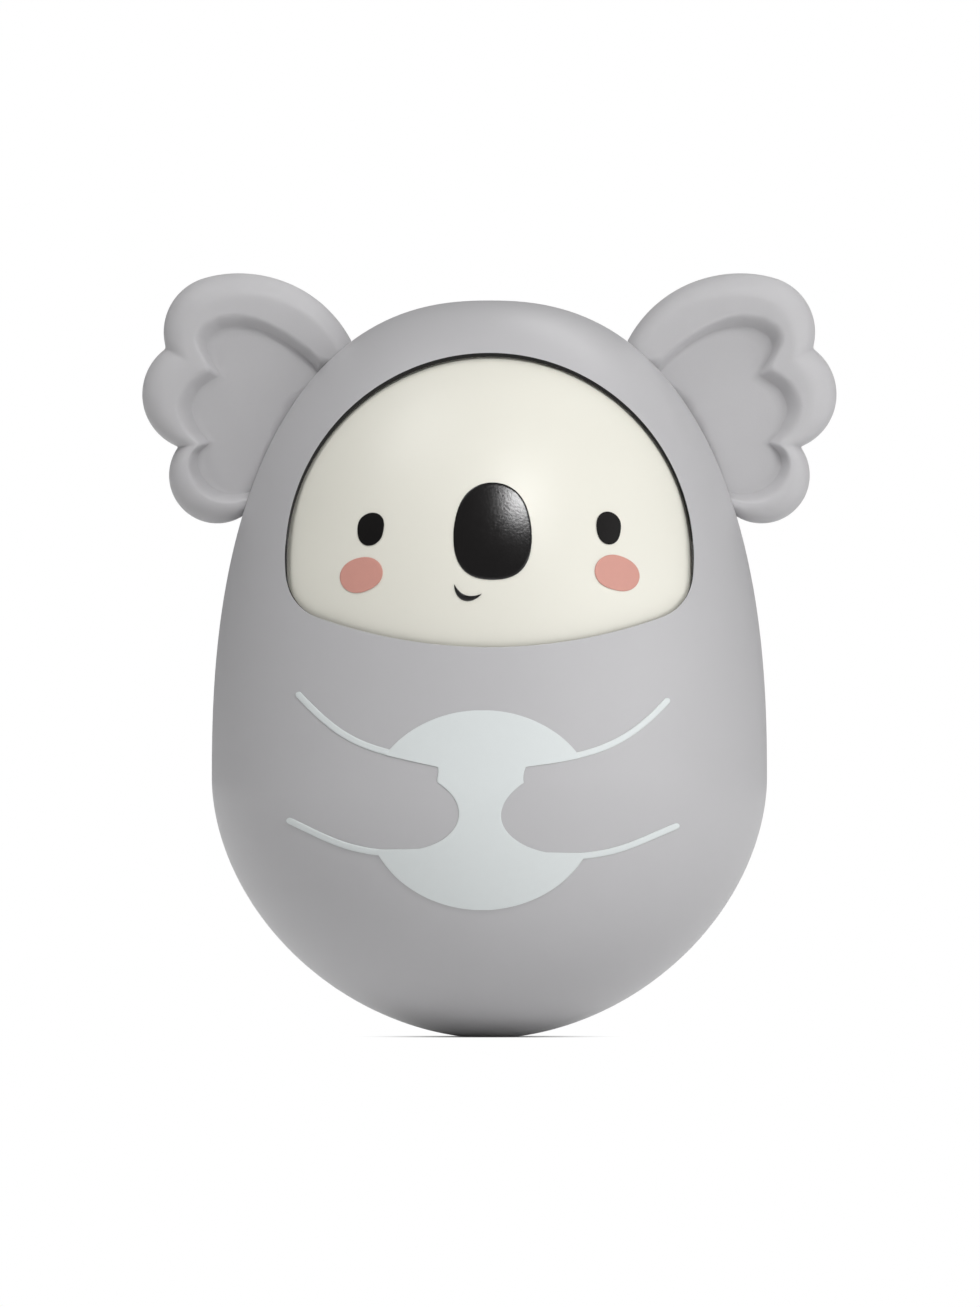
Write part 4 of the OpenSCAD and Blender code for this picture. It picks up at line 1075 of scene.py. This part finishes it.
class TOY_OT_face_prints(ToyOperator, Operator):
    """Makes the eyes, the nose, the mouth and the cheeks"""

    bl_idname = "toy.face_prints"
    bl_label = "Face prints"

    def execute(self, context):
        self.start(context)
        size, seen = self.size, self.dome.seen
        ink = self.colours.black
        black = printed_ink("black_face_ink", ink, rough=0.18, grain=0.00002, spread=0.2, pitch=3000.0)
        eye_black = printed_ink("black_eye_ink", ink, rough=0.35, grain=0.000012, spread=0.2, sheen=0.2)
        blush = printed_ink("blush_cheek_ink", self.colours.blush, rough=0.5, grain=0.000006, spread=0.05)
        eyes, nose, cheeks, mouth = Skin(), Skin(), Skin(), Skin()
        for skin, shape in (
            (eyes, LEFT_EYE), (eyes, RIGHT_EYE), (cheeks, LEFT_CHEEK), (cheeks, RIGHT_CHEEK), (nose, NOSE)
        ):
            ink_patch(skin, size, seen, wave_outline(shape), np.array(shape[0]) * MM)
        points, fullness = 60, 0.8
        half_w = MOUTH_HALF_W * np.sin(np.linspace(0.0, np.pi, points)) ** fullness
        ink_stroke(mouth, size, seen, curve(MOUTH, points), half_w, size.ink_top)
        for skin, name, finish, node, slot in (
            (eyes, "eye_ink", eye_black, "eye_prints", "black_ink"),
            (nose, "nose_ink", black, "nose_print", "black_ink"),
            (mouth, "mouth_ink", black, "mouth_print", "black_ink"),
            (cheeks, "cheek_ink", blush, "cheek_prints", "blush_ink"),
        ):
            self.place(skin, name, finish, node, "head", slot)
        return {"FINISHED"}


class TOY_OT_belly_print(ToyOperator, Operator):
    """Makes the belly's pale print"""

    bl_idname = "toy.belly_print"
    bl_label = "Belly print"

    def execute(self, context):
        self.start(context)
        finish = printed_ink("pale_belly_ink", self.colours.pale, rough=0.42, grain=0.000005, spread=0.02)
        skin = belly_skin(self.egg, self.size)
        self.place(skin, "belly_ink", finish, "belly_print", "body", "pale_ink")
        return {"FINISHED"}


class TOY_OT_shell_screws(ToyOperator, Operator):
    """Makes the screws in the wells behind"""

    bl_idname = "toy.shell_screws"
    bl_label = "Shell screws"

    def execute(self, context):
        self.start(context)
        size = self.size
        low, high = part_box("shell_screws")
        finish = drawn_metal("screw_steel", self.colours.steel, rough=0.3, stretch=(1.0, 0.1, 1.0))
        skin = screw_skin(
            well_places(size), size.well_floor, size.screw_head_r, high.y - size.well_floor,
            size.screw_r, size.well_floor - low.y,
        )
        self.place(skin, "shell_screw_set", finish, "shell_screws", "body", "steel")
        return {"FINISHED"}


class TOY_OT_inner_finishes(ToyOperator, Operator):
    """Gives the pieces inside, which stay as packed, their finishes"""

    bl_idname = "toy.inner_finishes"
    bl_label = "Inner finishes"

    def execute(self, context):
        self.start(context)
        made = {}
        for row in frame["record"]["subparts"]:
            slot = row["material_slot"]
            if slot in INNER_FINISHES:
                if slot not in made:
                    made[slot] = INNER_FINISHES[slot](self.colours)
                node = frame["nodes"][row["node"]]
                for place in node.material_slots:
                    place.link = "OBJECT"
                    place.material = made[slot]
        return {"FINISHED"}


def area_lamp(name, place, aim, width, height, watts):
    """A soft box that looks at a point."""
    lamp = bpy.data.lights.new(name, "AREA")
    lamp.shape, lamp.size, lamp.size_y = "RECTANGLE", width, height
    lamp.energy = watts
    thing = bpy.data.objects.new(name, lamp)
    thing.location = place
    thing.rotation_euler = (Vector(aim) - Vector(place)).to_track_quat("-Z", "Y").to_euler()
    bpy.context.scene.collection.objects.link(thing)


class TOY_OT_stage(ToyOperator, Operator):
    """Sets the floor, the light, the white surround and the camera"""

    bl_idname = "toy.stage"
    bl_label = "Stage"

    def execute(self, context):
        scene = context.scene
        scene.view_settings.view_transform = "Standard"
        self.floor()
        self.surround(scene)
        for name, lamp in LAMPS.items():
            area_lamp(name, *lamp)
        self.camera(scene)
        return {"FINISHED"}

    def floor(self):
        """A round floor, matt where the toy's shadow falls and plain white further out."""
        columns, first_r, last_r = 96, 0.05, 4.0
        turn = full_turn(columns)
        radius = np.concatenate(((0.0,), np.geomspace(first_r, last_r, 12)))[:, None]
        finish = Finish("floor_white")
        light, gloss, clear = (
            finish.node("ShaderNodeLightPath", output=f"Is {ray} Ray")
            for ray in ("Camera", "Glossy", "Transmission")
        )
        shown = light.math("MAXIMUM", gloss.math("MAXIMUM", clear))
        place = finish.node("ShaderNodeTexCoord", output="Object")
        far = finish.node("ShaderNodeVectorMath", {"operation": "LENGTH"}, {0: place}, "Value")
        fade = finish.node(
            "ShaderNodeMapRange", {"interpolation_type": "SMOOTHSTEP"},
            {"Value": far, "From Min": FLOOR_FADE[0], "From Max": FLOOR_FADE[1]},
        )
        matt = finish.node("ShaderNodeBsdfDiffuse", values={"Color": FLOOR_MATT})
        white = finish.node("ShaderNodeEmission", values={"Color": WHITE, "Strength": 1.0})
        mix = finish.node("ShaderNodeMixShader", values={0: fade * shown, 1: matt, 2: white})
        spots = along(radius * np.cos(turn), radius * np.sin(turn), 0.0)
        skin = Skin().grid(spots, round_columns=True)
        skin.piece("floor", finish.end(mix))

    def surround(self, scene):
        """White to the camera and through clear things, a plain grey as light."""
        finish = Finish("surround", bpy.data.worlds)
        camera = finish.node("ShaderNodeLightPath", output="Is Camera Ray")
        clear = finish.node("ShaderNodeLightPath", output="Is Transmission Ray")
        light = finish.node("ShaderNodeBackground", values={"Color": WHITE, "Strength": SURROUND_LIGHT})
        white = finish.node("ShaderNodeBackground", values={"Color": WHITE, "Strength": 1.0})
        shown = camera.math("MAXIMUM", clear)
        mix = finish.node("ShaderNodeMixShader", values={0: shown, 1: light, 2: white})
        scene.world = finish.end(mix, "ShaderNodeOutputWorld")

    def camera(self, scene):
        """A level camera with a long lens, far enough off for the picture's height."""
        data = bpy.data.cameras.new("camera")
        data.lens = LENS_MM
        data.clip_end = CAMERA_REACH
        thing = bpy.data.objects.new("camera", data)
        thing.location = (CAMERA_X, -PICTURE_H * LENS_MM / data.sensor_width, CAMERA_Z)
        thing.rotation_euler = (np.pi / 2.0, 0.0, 0.0)
        scene.collection.objects.link(thing)
        scene.camera = thing


OPERATORS = (
    TOY_OT_shells, TOY_OT_face, TOY_OT_ears, TOY_OT_face_prints, TOY_OT_belly_print,
    TOY_OT_shell_screws, TOY_OT_inner_finishes, TOY_OT_stage,
)


class TOY_PT_sidebar(Panel):
    """Lists the toy's pieces, sizes and colours"""

    bl_idname = "TOY_PT_sidebar"
    bl_label = "Roly Poly Toy"
    bl_space_type = "VIEW_3D"
    bl_region_type = "UI"
    bl_category = "Toy"

    def draw(self, context):
        for operator in OPERATORS:
            self.layout.operator(operator.bl_idname)
        for group in (context.scene.toy_sizes, context.scene.toy_colours):
            for name in group.bl_rna.properties.keys():
                if name not in ("rna_type", "name"):
                    self.layout.prop(group, name)


CLASSES = (ToySizes, ToyColours, *OPERATORS, TOY_PT_sidebar)


def register():
    for cls in CLASSES:
        bpy.utils.register_class(cls)
    bpy.types.Scene.toy_sizes = PointerProperty(type=ToySizes)
    bpy.types.Scene.toy_colours = PointerProperty(type=ToyColours)


def unregister():
    del bpy.types.Scene.toy_colours
    del bpy.types.Scene.toy_sizes
    for cls in reversed(CLASSES):
        bpy.utils.unregister_class(cls)


def main():
    register()
    bpy.ops.toy.shells()
    bpy.ops.toy.face()
    bpy.ops.toy.ears()
    bpy.ops.toy.face_prints()
    bpy.ops.toy.belly_print()
    bpy.ops.toy.shell_screws()
    bpy.ops.toy.inner_finishes()
    bpy.ops.toy.stage()


if __name__ == "__main__":
    main()
